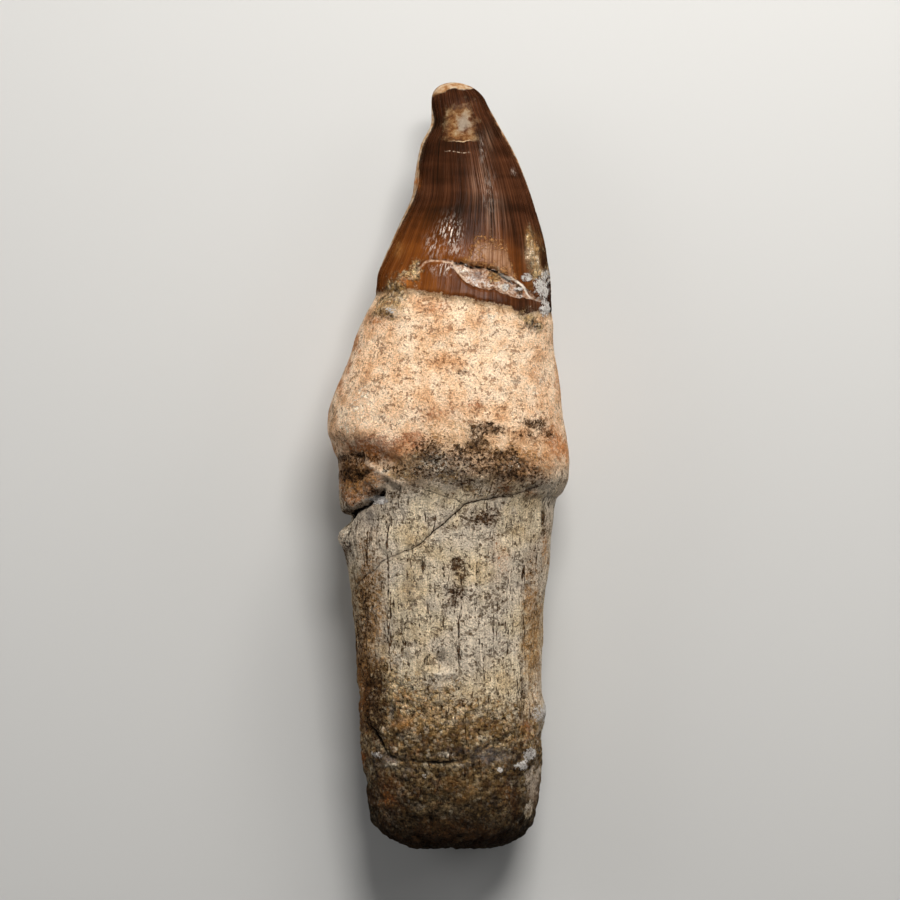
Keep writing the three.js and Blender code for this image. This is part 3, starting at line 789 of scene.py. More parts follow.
ROCK_PATCHES = spots(
    (-5.6, 32.0, 1.1, 1.1, 0.75), (-6.6, 30.5, 1.5, 1.5, 0.8), (-8.4, 28.7, 1.8, 1.7, 0.85),
    (-9.4, 26.4, 2.2, 2.0, 0.85), (-10.6, 24.6, 2.6, 1.3, 0.8), (13.4, 36.4, 0.8, 2.0, 0.9),
    (14.1, 33.8, 1.2, 2.4, 0.95), (14.6, 31.4, 1.3, 1.5, 0.9), (13.6, 23.2, 2.3, 1.6, 0.8),
    (-16.0, -2.4, 2.2, 2.4, 0.6), (7.8, 30.6, 1.2, 0.9, 0.9), (-13.4, -45.0, 2.0, 4.0, 1.0),
    (-3.4, 0.6, 4.4, 2.6, 0.62), (0.6, -1.8, 4.4, 1.8, 0.6), (10.6, -1.2, 5.4, 2.4, 0.55),
    (-8.0, -2.2, 3.2, 1.4, 0.55), (3.8, -4.4, 4.0, 1.4, 0.5), (5.0, 2.8, 3.0, 2.0, 0.45),
) + spots(
    (-7.0, 26.0, 4.0, 2.4, 0.9), (9.0, 23.0, 3.0, 2.0, 0.9), (0.0, 0.0, 7.0, 4.0, 0.5),
    face=Face.UNDER,
)
# painted sheen: grey streaks that stand for the lamps' reflection on the crown
SHEEN = spots((5.4, 45.6, 1.5, 4.6), (7.2, 40.4, 1.8, 4.2, 0.8), (6.6, 53.0, 0.7, 2.0, 0.6))
# painted highlights: pale glints of the lamps painted on the crown's enamel
GLINTS = spots(
    (0.1, 37.7, 1.4, 1.9, 1.3), (-2.7, 35.8, 1.2, 1.9, 0.6), (-0.8, 32.0, 1.7, 1.0, 0.85),
    (0.6, 35.0, 1.6, 1.0, 0.5), (5.6, 51.5, 0.4, 1.8, 0.35), (11.0, 47.8, 0.4, 0.4, 0.9),
    (6.6, 44.6, 1.2, 3.0, 0.2),
)


@dataclass
class Carving:
    """Everything that is cut into or built up on the blank, with what the finish needs to know of it."""

    keel_height: float = 0.35
    keel_width: float = 0.09
    enamel_step: float = 0.25
    enamel_step_width: float = 1.4
    enamel_ragged: Wave = Wave(1.0, 1.7, 3, 5)
    flute_depth: float = 0.07
    flake_depth: float = 0.42
    flake_floor: Wave = Wave(0.2, 1.3, 3, 31)
    flake_ragged: Wave = Wave(0.34, 1.5, 4, 23)
    break_ragged: Wave = Wave(0.12, 0.9, 2, 37)
    film_height: float = 0.12
    wear_ragged: Wave = Wave(0.1, 0.8, 2, 41)
    spall: Spot = Spot(1.9, 54.9, 2.5, 3.2)
    spall_depth: float = 0.4
    spall_floor: Wave = Wave(0.3, 1.6, 2, 43)
    spall_foot: float = 52.8
    spall_ragged: Wave = Wave(0.2, 1.1, 2, 44)
    spall_white: Spot = Spot(2.6, 55.7, 1.4, 1.6)
    rim_foot: float = 27.5
    rim_ragged: Wave = Wave(0.5, 2.6, 3, 47)
    swells: Wave = Wave(0.22, 5.5, 3, 53)
    grain: Wave = Wave(0.1, 1.2, 3, 59)
    ledge_ragged: Wave = Wave(1.6, 3.4, 4, 60)
    ledge_rise: float = 0.3
    ledge_depth: float = 0.75
    furrow_depth: float = 0.24
    pit_depth: float = 0.22
    pit_fields: Wave = Wave(1.0, 7.0, 2, 71)
    rough_places: tuple[Spot, ...] = spots(
        (-3.5, 0.4, 6.5, 3.0), (11.0, -1.0, 6.0, 3.4), (-14.0, -2.5, 4.0, 4.0, 1.5),
    )
    rough_lumps: Lumps = Lumps(0.4, 1.4, 0.3, 73)
    rough_waves: Wave = Wave(0.6, 1.6, 4, 79)
    crack_ragged: Wave = Wave(1.0, 0.9, 2, 83)
    lip_share: Wave = Wave(0.9, 1.2, 2, 89)
    hump_share: Wave = Wave(0.6, 1.3, 3, 97)
    crust_top: float = -30.0
    crust_fade: float = 16.0
    crust_slant: float = -0.38
    crust_ragged: Wave = Wave(2.4, 5.0, 3, 103)
    bare_ragged: Wave = Wave(1.2, 3.0, 3, 105)
    crust_height: float = 0.15
    crust_lumps: tuple[Lumps, ...] = (Lumps(0.3, 2.6, 0.2, 107), Lumps(0.3, 1.3, 0.2, 113))
    crust_waves: tuple[Wave, ...] = (Wave(0.26, 1.2, 3, 127), Wave(0.35, 4.5, 2, 131))
    patch_lumps: Lumps = Lumps(0.26, 1.1, 0.1, 137)
    patch_waves: Wave = Wave(0.14, 0.8, 2, 139)
    stain_drift: Wave = Wave(0.35, 3.0, 2, 151)
    ash_ragged: Wave = Wave(2.0, 5.0, 2, 157)
    calcite_lumps: Lumps = Lumps(1.0, 0.8, 0.0, 163)
    calcite_height: float = 0.25
    enamel_foot: Line = Line((
        (-1.0, 28.2), (-0.7, 28.6), (-0.33, 28.0), (-0.1, 27.4), (0.05, 27.1), (0.2, 26.5), (0.4, 26.0),
        (0.52, 25.6), (0.6, 24.9), (0.72, 24.5), (0.84, 24.9), (1.0, 24.6),
    ))
    tip_foot: Line = Line((
        (-3.4, 59.3), (-2.6, 59.9), (-1.7, 60.4), (-0.7, 60.7), (0.0, 61.1), (1.1, 61.3), (2.2, 61.1),
        (3.6, 61.2), (5.0, 62.0),
    ))
    left_rim: Line = Line((
        (62.0, 0.1), (58.0, 0.12), (54.8, 0.42), (52.9, 0.38), (49.4, 0.4), (48.0, 0.8), (46.0, 1.15),
        (43.9, 0.8), (42.2, 0.45), (41.1, 0.38), (36.5, 0.36), (32.9, 0.32), (28.4, 0.18),
    ))
    right_rim: Line = Line((
        (60.0, 0.0), (56.0, 0.18), (50.0, 0.2), (47.0, 0.12), (40.0, 0.1), (32.0, 0.1), (27.0, 0.08),
    ))
    ledge: Line = Line((
        (-18.5, 3.4), (-13.0, 2.4), (-8.0, 0.8), (-3.0, -0.6), (2.0, -1.6), (6.0, -2.6), (10.0, -4.0),
        (14.0, -4.8), (19.0, -5.4),
    ))

    def crown(self, skin: Skin) -> np.ndarray:
        """The enamel: its keels, faint flutes, flaked band, wear at the tip and step down to the bone.

        Args:
            skin: The surface, which is given the measures of this part.

        Returns:
            How far it stands out at each point.
        """
        angle, front = skin.angle, np.sin(skin.angle) > 0
        foot = np.where(front, self.enamel_foot.at(np.cos(angle)), 26.4 - 1.8 * np.cos(angle))
        edge = skin.y - foot + np.where(front, 0.28, 0.7) * self.enamel_ragged.on(skin)
        on_crown = ease(edge, -0.35, 0.35)
        skin.measures["enamel"] = edge

        keel_fade = ease(edge, 0, 6) * (1 - ease(skin.y, 56.5, 60.5))
        off_keel = 2 * np.minimum(np.abs(np.sin(angle / 2)), np.abs(np.cos(angle / 2)))
        height = -self.keel_height * keel_fade * (1 - bell(off_keel / self.keel_width))
        height -= (1 - on_crown) * self.enamel_step * bell(edge / self.enamel_step_width)
        flutes = waver(skin.lengthwise(2.6, 40.0), 1.0, 2, 11)
        height += on_crown * self.flute_depth * flutes * (1 - ease(skin.y, 54, 60))
        height += self.flaked_band(skin) + self.worn_tip(skin)
        return height

    def flaked_band(self, skin: Skin) -> np.ndarray:
        """The band below the crown's crack where the enamel has come away, and the film above it.

        Args:
            skin: The surface, which is given the measures of this part.

        Returns:
            How far it stands out at each point.
        """
        front = np.sin(skin.angle) > 0
        head, low = FLAKE_HEAD.at(skin.x), FLAKE_FOOT.at(skin.x)
        inside = np.minimum(head - skin.y, skin.y - low) * 0.85 + self.flake_ragged.on(skin)
        inside = np.minimum(inside, np.minimum(skin.x - 0.2, 15.6 - skin.x))
        inside = np.where(front, inside, FAR_OUTSIDE)
        skin.measures["flake"] = inside
        height = -ease(inside, -0.18, 0.22) * (self.flake_depth + self.flake_floor.on(skin))
        skin.measures["break"] = CROWN_CRACK.side(skin) + self.break_ragged.on(skin)
        skin.measures["break_on"] = CROWN_CRACK.present(skin)
        film = np.minimum(FILM_HEAD.at(skin.x) - skin.y, skin.y - head)
        film = np.minimum(film, np.minimum(skin.x - 2.9, 10.9 - skin.x) * 1.6)
        skin.measures["film"] = np.where(front, film, FAR_OUTSIDE)
        return height + CROWN_CRACK.cut(skin) + self.film_height * ease(film, -0.1, 0.4) * front

    def worn_tip(self, skin: Skin) -> np.ndarray:
        """The worn tip, the spall below it and the pale rims of the keels.

        Args:
            skin: The surface, which is given the measures of this part.

        Returns:
            How far it stands out at each point.
        """
        wear = skin.y - self.tip_foot.at(skin.x) + self.wear_ragged.on(skin)
        skin.measures["tip_wear"] = wear
        spall = self.spall.on(skin) * (1 + self.spall_floor.on(skin))
        foot = skin.y - self.spall_foot + self.spall_ragged.on(skin)
        skin.measures["spall"] = spall
        skin.measures["spall_foot"] = foot
        skin.measures["spall_white"] = self.spall_white.on(skin)
        skin.measures["rim"] = self.rim(skin)
        return -self.spall_depth * ease(spall, 0.2, 0.8) * ease(foot, -0.1, 0.2)

    def rim(self, skin: Skin) -> np.ndarray:
        """The worn pale edge along each keel.

        Args:
            skin: The surface.

        Returns:
            The edge's width less the distance from the keel, at each point.
        """
        distance = []
        keel_z = (FRONT_EDGE.at(skin.y) + BACK_EDGE.at(skin.y)) / 2
        ragged = 1.0 + self.rim_ragged.on(skin)
        for sign, edge, width in ((-1, LEFT_EDGE, self.left_rim), (1, RIGHT_EDGE, self.right_rim)):
            apart = np.hypot(sign * (edge.at(skin.y) - skin.x), 0.5 * (skin.place[:, 2] - keel_z))
            distance.append(width.at(skin.y) * ragged - apart)
        return np.where(skin.y > self.rim_foot, np.maximum(*distance), -3.0)

    def bone(self, skin: Skin) -> np.ndarray:
        """The root: its unevenness, the collar's ledge, furrows, pits, rough places and every crack.

        Args:
            skin: The surface, which is given the measures of this part.

        Returns:
            How far it stands out at each point.
        """
        angle, root = skin.angle, 1 - ease(skin.measures["enamel"], -0.5, 0.2)
        height = 0.16 * np.sin(3 * angle + 0.21 * skin.y) * np.sin(0.37 * skin.y + 2 * angle + 1)
        height += self.swells.on(skin)
        height += self.grain.on(skin)
        below = self.ledge.at(skin.x) - skin.y + self.ledge_ragged.on(skin)
        marked = 0.15 + 0.85 * ease(-skin.x - 1.0, 4.0, 10.0) + 0.15 * ease(skin.x, 3.0, 9.0)
        top = ease(np.sin(angle), 0.0, 0.25)
        rise, drop = bell((below + 2.4) / 2.0), bell((below - 1.3) / 1.5)
        height += marked * (self.ledge_rise * rise - self.ledge_depth * drop * top)
        grooved = ease(-skin.y, 2, 8) * (1 - 0.6 * ease(-skin.y, 36, 44))
        furrows = np.abs(waver(skin.lengthwise(1.5, 9.0), 1.0, 2, 61))
        height -= grooved * self.furrow_depth * (1 - ease(furrows, 0.0, 0.16))
        pitted = 0.25 + 0.75 * ease(-skin.y, -6, 2)
        pits = ease(pebbles(skin.place * np.array([1, 0.6, 1]), 1.3, 67), 0.72, 0.98)
        height -= pitted * self.pit_depth * pits * ease(self.pit_fields.on(skin), -0.3, 0.4)
        rough = gathered(self.rough_places, skin)
        height += rough * (self.rough_lumps.on(skin) + self.rough_waves.on(skin))
        height *= root
        ragged = self.crack_ragged.on(skin)
        for name, crack in CRACKS.items():
            skin.measures[name] = crack.side(skin) + 0.6 * crack.half_width * ragged
            skin.measures[name + "_on"] = crack.present(skin)
            height += crack.cut(skin)
        for seam in (DISH_LIP, END_LIP):
            height += seam.cut(skin) * (0.7 + self.lip_share.on(skin))
        return height

    def crust(self, skin: Skin) -> np.ndarray:
        """The rock on the root's end and beside the crown's crack, in lumps and grains.

        Args:
            skin: The surface, which is given the measures of this part.

        Returns:
            How far it stands out at each point.
        """
        angle = skin.angle
        top = self.crust_top + self.crust_slant * skin.x + 0.8 * np.sin(3 * angle + 0.6)
        top += self.crust_ragged.on(skin)
        cover = 1 - ease(skin.y, top - self.crust_fade, top)
        wavy = skin.x + self.bare_ragged.on(skin)
        beside = ease(-skin.y, 48.0, 50.5) * ease(skin.y, -60, -57) + 1 - ease(-skin.y, 37.0, 40.0)
        bare_side = ease(wavy, 11.4, 13.2) * beside * ease(np.sin(angle) + 0.3 * skin.sway[1], -0.1, 0.35)
        cover *= 1 - 0.7 * bare_side
        patches = np.minimum(gathered(ROCK_PATCHES, skin), 1)
        lumps = sum(part.on(skin) for part in self.crust_lumps)
        lumps += sum(part.on(skin) for part in self.crust_waves)
        height = cover * (self.crust_height + lumps)
        height += patches * (self.patch_lumps.on(skin) + self.patch_waves.on(skin))
        skin.measures["crust"] = np.maximum(cover, patches)
        # painted shade: the rock grows darker towards the root's end, where the light falls off
        skin.measures["root_end_shade"] = ease(-skin.y, 36.0, 62.0)
        return height

    def stain(self, skin: Skin) -> None:
        """Lays out the stains and minerals that the finish paints, with the painted shade and highlights
        among them and the enamel's painted sheen and glints.

        Args:
            skin: The surface, which is given their measures.
        """
        drift = 1 + self.stain_drift.on(skin)
        for tone, group in STAINS.items():
            skin.measures[tone.value] = gathered(group, skin) * drift
        above = skin.y - self.ledge.at(skin.x) + 0.8 * skin.sway[1]
        for tone, rise, reach, strength in ((Tone.UMBER, 2.4, 3.2, 0.85), (Tone.SAND, 4.8, 2.8, 0.8)):
            band = strength * bell((above - rise) / reach) * ease(skin.x, -6.0, -2.0) * drift
            band *= 1 - 0.85 * ease(skin.x, 14.0, 17.0)
            skin.measures[tone.value] = np.maximum(skin.measures[tone.value], band)
        skin.measures["ash"] = ease(-skin.y + self.ash_ragged.on(skin), -2.5, 5.0)
        strip = ease(skin.x + skin.sway[0], 11.9, 13.0) * ease(-skin.y, 17.0, 22.0) * skin.upper
        skin.measures["polished"] = strip * (1 - ease(-skin.y, 36, 42))
        # where the enamel's painted sheen and painted glints lie
        skin.measures["sheen"] = gathered(SHEEN, skin)
        skin.measures["glint"] = gathered(GLINTS, skin)

    def warm(self, skin: Skin) -> np.ndarray:
        """How amber the enamel is: more low down and on the concave side, less below the crack.

        Args:
            skin: The surface.

        Returns:
            A share at each point.
        """
        low = 1 - ease(skin.y, 32, 44)
        concave = ease(-skin.x - 0.55 * (skin.y - 40), -4.0, 8.0)
        convex = ease(skin.x + 0.5 * (skin.y - 32), 11.0, 16.0)
        strip = ease(-skin.measures["break"], 0.0, 0.6) * ease(skin.x, -6.5, -3.0)
        return np.clip(0.75 * low + 0.36 * concave - 0.6 * convex - 0.45 * strip, 0, 1)

    def relief(self, skin: Skin) -> np.ndarray:
        """Carves the whole tooth.

        Args:
            skin: The surface, which is given every measure but the hollows.

        Returns:
            How far it stands out from the blank at each point, in millimetres.
        """
        height = self.crown(skin) + self.bone(skin) + self.crust(skin)
        height += summed(HUMPS, skin) * (0.85 + self.hump_share.on(skin))
        crystals = self.calcite_height * np.minimum(gathered(STAINS[Tone.CALCITE], skin), 1)
        height += crystals * self.calcite_lumps.on(skin)
        self.stain(skin)
        skin.measures["warm"] = self.warm(skin)
        return height


# ---- Finishes -------------------------------------------------------------------------------------------


@dataclass(frozen=True)
class Coat:
    """One layer of the surface: its colour, its height for the fine relief and its roughness."""

    colour: Value
    height: Value = 0.0
    roughness: Value = 0.8


class Graph:
    """A material's node tree, with short ways to add the nodes that a finish is made of."""

    def __init__(self, name: str) -> None:
        """Starts a material.

        Args:
            name: The material's name.
        """
        self.material = bpy.data.materials.new(name)
        self.material.use_nodes = True
        self.tree = self.material.node_tree
        self.shader = self.tree.nodes["Principled BSDF"]
        self.place = self.scaled(self.node("ShaderNodeTexCoord", {}, "Object"), (1 / MM, 1 / MM, 1 / MM))
        self.flow = self.node("ShaderNodeAttribute", {}, "Vector", attribute_name="flow")

    def feed(self, socket: Socket, value: Value) -> None:
        """Links a socket to another, or sets its own value.

        Args:
            socket: The socket.
            value: Another socket, a whole number for a 0xRRGGBB colour, or the value itself.
        """
        if isinstance(value, Socket):
            self.tree.links.new(value, socket)
        elif isinstance(value, int):
            socket.default_value = (*hexed(value), 1.0)[: len(socket.default_value)]
        else:
            socket.default_value = value

    def node(
        self, kind: str, feeds: dict[int | str, Value], output: int | str = 0, **settings: str
    ) -> Socket:
        """Adds a node.

        Args:
            kind: The node's type.
            feeds: What goes into its sockets, by their numbers or names.
            output: The number or name of the output that is wanted.
            settings: The node's own settings.

        Returns:
            That output.
        """
        node = self.tree.nodes.new(kind)
        for name, setting in settings.items():
            setattr(node, name, setting)
        for key, value in feeds.items():
            self.feed(node.inputs[key], value)
        return node.outputs[output]

    def scaled(self, place: Value, factors: tuple[float, float, float]) -> Socket:
        """A place multiplied along each axis."""
        return self.node("ShaderNodeVectorMath", {0: place, 1: factors}, operation="MULTIPLY")

    def calc(self, operation: str, a: Value, b: Value = 0.0) -> Socket:
        """A number worked out from one or two others."""
        return self.node("ShaderNodeMath", {0: a, 1: b}, operation=operation)

    def add(self, *terms: Value) -> Value:
        """The sum of several numbers."""
        return reduce(partial(self.calc, "ADD"), terms)

    def times(self, *factors: Value) -> Value:
        """The product of several numbers."""
        return reduce(partial(self.calc, "MULTIPLY"), factors)

    def less(self, a: Value, b: Value) -> Socket:
        """The number a less b."""
        return self.calc("SUBTRACT", a, b)

    def most(self, a: Value, b: Value) -> Socket:
        """The greater of two numbers."""
        return self.calc("MAXIMUM", a, b)

    def least(self, a: Value, b: Value) -> Socket:
        """The smaller of two numbers."""
        return self.calc("MINIMUM", a, b)

    def size(self, a: Value) -> Socket:
        """A number without its sign."""
        return self.calc("ABSOLUTE", a)

    def swing(self, noise: Value, *gains: Value) -> Value:
        """Noise about 0.5 made to swing about 0, times its gains."""
        return self.times(self.less(noise, 0.5), *gains)

    def from_base(self, base: float, value: Value, gain: float) -> Value:
        """A number that starts from a base and rises with a value."""
        return self.add(base, self.times(value, gain))

    def measure(self, name: str) -> Socket:
        """A number that the mesh carries at each point."""
        return self.node("ShaderNodeAttribute", {}, "Fac", attribute_name=name)

    def step(self, value: Value, low: float, high: float) -> Socket:
        """Rises smoothly from 0 at low to 1 at high, or falls where low is the larger."""
        feeds = {"Value": value, "From Min": low, "From Max": high}
        return self.node("ShaderNodeMapRange", feeds, interpolation_type="SMOOTHSTEP")

    def noise(self, at: Value, scale: float, detail: float = 3.0, rough: float = 0.6) -> Socket:
        """Cloudy noise about 0.5, with scale waves to a millimetre."""
        feeds = {"Vector": at, "Scale": scale, "Detail": detail, "Roughness": rough}
        return self.node("ShaderNodeTexNoise", feeds)

    def stretched(
        self, factors: tuple[float, float, float], scale: float, detail: float, rough: float
    ) -> Socket:
        """Noise in places that are stretched or mirrored first."""
        return self.noise(self.scaled(self.place, factors), scale, detail, rough)

    def striae(self, across: float, along: float, detail: float = 3.0, rough: float = 0.6) -> Socket:
        """Noise drawn out along the tooth, with so many waves to a millimetre across and along it."""
        return self.noise(self.scaled(self.flow, (across, along, across)), 1.0, detail, rough)

    def cells(self, at: Value, scale: float) -> tuple[Socket, Socket]:
        """Packed grains, scale of them to a millimetre: how far from a middle, and a number each."""
        apart = self.node("ShaderNodeTexVoronoi", {"Vector": at, "Scale": scale}, "Distance")
        return apart, self.node("ShaderNodeSeparateColor", {0: apart.node.outputs["Color"]})

    def ramp(self, value: Value, stops: Stops) -> Socket:
        """A colour that changes with a value.

        Args:
            value: The value.
            stops: The colours and where they are reached.

        Returns:
            The colour.
        """
        colour = self.node("ShaderNodeValToRGB", {0: value})
        elements = colour.node.color_ramp.elements
        while len(elements) < len(stops):
            elements.new(0.5)
        for element, (position, tint) in zip(elements, stops):
            element.position = position
            element.color = (*hexed(tint), 1.0)
        return colour

    def blend(self, share: Value, a: Value, b: Value) -> Socket:
        """Colour a with a share of colour b over it."""
        return self.node("ShaderNodeMix", {0: share, 6: a, 7: b}, 2, data_type="RGBA")

    def between(self, share: Value, a: Value, b: Value) -> Socket:
        """A number between a and b."""
        return self.node("ShaderNodeMix", {0: share, 2: a, 3: b})

    def lit(self, colour: Value, factor: Value) -> Socket:
        """A colour made lighter or darker by a factor."""
        return self.node("ShaderNodeVectorMath", {0: colour, 3: factor}, operation="SCALE")

    def grains(self, noise: Value, low: float, density: Value, gain: float, soft: float = 0.03) -> Value:
        """The share of grains: those where the noise lies under a limit that rises with a density.

        Args:
            noise: Grainy noise about 0.5.
            low: The limit where the density is 0.
            density: The density.
            gain: How much the limit rises with it.
            soft: How far the grains' edges fade.

        Returns:
            The share.
        """
        return self.step(self.less(noise, self.from_base(low, density, gain)), soft, -soft)

    def line(self, name: str, half_width: float, soft: float = 0.1) -> Socket:
        """Draws a crack's line.

        Args:
            name: The crack's name.
            half_width: Half the line's width.
            soft: How far its edges fade.

        Returns:
            1 along the line where the crack runs, 0 away from it.
        """
        away = self.size(self.measure(name))
        wide = self.less(away, self.swing(self.noise(self.place, 1.3, 2.0), half_width * 2))
        inside = self.step(wide, half_width + soft, half_width - soft)
        return self.times(inside, self.measure(name + "_on"))

    def lay(self, share: Value, under: Coat, over: Coat) -> Coat:
        """Covers a share of one coat with another.

        Args:
            share: How much of it is covered.
            under: The coat below.
            over: The coat above.

        Returns:
            The two together.
        """
        height, roughness = under.height, under.roughness
        if over.height is not height:
            height = self.between(share, height, over.height)
        if over.roughness is not roughness:
            roughness = self.between(share, roughness, over.roughness)
        return Coat(self.blend(share, under.colour, over.colour), height, roughness)

    def tint(self, share: Value, under: Coat, colour: Value, roughness: Value | None = None) -> Coat:
        """Colours a share of a coat and keeps its relief, and its roughness unless another is given."""
        roughness = under.roughness if roughness is None else roughness
        return self.lay(share, under, Coat(colour, under.height, roughness))


@dataclass(frozen=True)
class Bone:
    """Cream bone that turns grey and streaky down the root."""

    tan: int = 0xD09C70
    cream: int = 0xECC198
    straw: int = 0xF8DAB9
    ochre: int = 0xC2A67E
    ash: int = 0xCDB692
    pale_ash: int = 0xDBC9AB
    lilac: int = 0xCEC0AE
    speck: int = 0x82502D
    pore: int = 0x553F26
    roughness: float = 0.78

    def paint(self, g: Graph) -> Coat:
        """Bare bone, before its stains: fine grain, and specks that gather in clouds.

        Args:
            g: The material's nodes.

        Returns:
            The coat.
        """
        ash = g.measure("ash")
        mottle = g.noise(g.place, 0.26, 3.0, 0.65)
        drift = g.noise(g.place, 0.11, 2.0, 0.6)
        upper = g.ramp(mottle, ((0.32, self.tan), (0.45, self.cream), (0.6, self.straw)))
        lower = g.ramp(mottle, ((0.28, self.ochre), (0.4, self.ash), (0.6, self.pale_ash)))
        lower = g.blend(g.times(g.step(drift, 0.42, 0.56), 0.7), lower, self.lilac)
        colour = g.blend(ash, upper, lower)
        streaks = g.swing(g.striae(2.2, 0.07, 3.0, 0.7), ash)
        grain = g.noise(g.place, 3.4, 3.0, 0.7)
        factor = g.add(1.0, g.swing(grain, g.between(ash, 2.3, 2.6)), g.times(streaks, 1.3))
        clouds = g.stretched((1.0, 1.4, 1.0), 0.45, 3.0, 0.75)
        dots = g.stretched((-1.0, 0.8, 1.0), 2.0, 2.0, 0.7)
        share = g.times(g.grains(dots, -0.09, clouds, 0.95, 0.03), g.between(ash, 0.62, 0.64))
        colour = g.blend(share, g.lit(colour, factor), g.blend(ash, self.speck, self.pore))
        apart, kind = g.cells(g.place, 1.35)
        crowd = g.add(g.times(clouds, 1.5), g.times(kind, 0.5), g.swing(dots, 0.5), -1.0)
        round_pores = g.step(g.less(g.add(apart, g.swing(grain, 0.9)), crowd), 0.12, 0.0)
        colour = g.blend(g.times(round_pores, g.between(ash, 0.25, 0.8)), colour, self.pore)
        height = g.add(g.times(grain, 0.36), g.times(streaks, 0.16), g.times(share, -0.25))
        return Coat(colour, height, self.roughness)


@dataclass(frozen=True)
class Rock:
    """Granular rock: sand, rust and dark grains with grey and white ones between them."""

    grains: Stops = (
        (0.0, 0x2A1D11), (0.18, 0x5A4020), (0.36, 0x8C6B3E), (0.54, 0xA88A5C), (0.66, 0x955C2A),
        (0.78, 0x80746A), (0.9, 0xC2AC86), (1.0, 0xE8DCC8),
    )
    mud: Stops = ((0.36, 0x573F26), (0.5, 0x8E744E), (0.63, 0xB6A17C))
    # the painted shade in the gaps between grains
    dark: int = 0x1A120A
    # pale crystal grains, which are also painted as sparkles
    crystal: int = 0xD2B88C
    roughness: float = 0.8

    def paint(self, g: Graph) -> Coat:
        """The rock, with painted shade in the gaps between its grains and on its low places, and painted
        sparkle on a few pale grains.

        Args:
            g: The material's nodes.

        Returns:
            The coat.
        """
        wobble = g.noise(g.place, 1.6, 4.0, 0.8)
        cloud = g.noise(g.place, 0.3, 4.0, 0.7)
        apart, kind = g.cells(g.place, 0.9)
        apart_small, kind_small = g.cells(g.place, 1.9)
        grains = g.blend(0.6, g.ramp(kind, self.grains), g.ramp(kind_small, self.grains))
        colour = g.blend(0.42, grains, g.ramp(cloud, self.mud))
        # painted shade darkens the rock towards the root's end; the rock beside the crown is a little lighter
        lightness_and_end_shade = g.times(g.between(g.measure("ash"), 1.08, 1.0), g.between(g.measure("root_end_shade"), 1.45, 0.16))
        # painted shade: lighter where the grains stand high, darker where they sink
        factor = g.most(g.from_base(-2.15, wobble, 6.3), 0.08)
        factor = g.times(factor, g.from_base(0.4, cloud, 1.3), lightness_and_end_shade)
        # painted shade in the gaps between grains
        gap_shade = g.step(g.add(apart_small, g.times(wobble, -0.9)), 0.1, 0.42)
        colour = g.blend(g.times(gap_shade, 0.75), g.lit(colour, factor), self.dark)
        # pale crystal grains, brightened as painted sparkles
        bright = g.times(g.step(kind_small, 0.84, 0.92), g.step(apart_small, 0.4, 0.2), 0.7)
        colour = g.blend(bright, colour, g.lit(self.crystal, lightness_and_end_shade))
        height = g.less(g.times(wobble, 1.2), g.add(g.times(apart_small, 0.35), g.times(apart, 0.4)))
        return Coat(colour, height, self.roughness)


@dataclass(frozen=True)
class Enamel:
    """Dark brown enamel with fine lengthwise striae, amber low down and on the concave side."""

    black: int = 0x1E120A
    dark: int = 0x341C0F
    brown: int = 0x54311E
    warm_dark: int = 0x45260E
    warm: int = 0x633413
    amber: int = 0x7C461B
    # the colour of the painted sheen
    grey: int = 0x937059
    # the colour of the painted glints
    glint: int = 0xE8D6C6
    smooth: float = 0.14
    dull: float = 0.28

    def paint(self, g: Graph) -> Coat:
        """The enamel, with its painted sheen and painted glints.

        Args:
            g: The material's nodes.

        Returns:
            The coat.
        """
        broad = g.striae(0.5, 0.025, 2.0)
        fine = g.striae(2.4, 0.06, 3.0, 0.7)
        bands = g.striae(0.03, 0.35, 2.0)
        mottle = g.noise(g.place, 0.2, 2.0, 0.6)
        tone = g.add(g.times(broad, 0.27), g.times(fine, 0.4), g.times(bands, 0.33))
        cold = g.ramp(tone, ((0.38, self.black), (0.49, self.dark), (0.6, self.brown)))
        hot = g.ramp(tone, ((0.38, self.warm_dark), (0.5, self.warm), (0.62, self.amber)))
        warm = g.add(g.measure("warm"), g.swing(mottle, 0.9))
        colour = g.blend(g.step(warm, 0.1, 1.0), cold, hot)
        # painted sheen: grey streaks of reflected lamp light, painted into the enamel's colour
        painted_sheen = g.times(g.measure("sheen"), g.step(fine, 0.42, 0.6))
        colour = g.blend(g.times(painted_sheen, 0.65), colour, self.grey)
        # painted glints: pale flecks of reflected light, painted where the glint measure lies
        flecks = g.striae(2.2, 0.9, 3.0, 0.75)
        glint = g.times(g.measure("glint"), g.step(flecks, 0.5, 0.6))
        colour = g.blend(g.times(glint, 0.85), colour, self.glint)
        pores = g.step(g.noise(g.place, 1.7, 2.0, 0.75), 0.6, 0.7)
        pores = g.times(pores, g.step(g.measure("warm"), 0.4, 0.9))
        colour = g.blend(g.times(pores, 0.4), colour, self.amber)
        roughness = g.between(g.step(g.striae(3.0, 0.2), 0.4, 0.6), self.smooth, self.dull)
        return Coat(colour, g.add(g.times(fine, 0.08), g.times(flecks, g.measure("glint"), 0.3)), roughness)


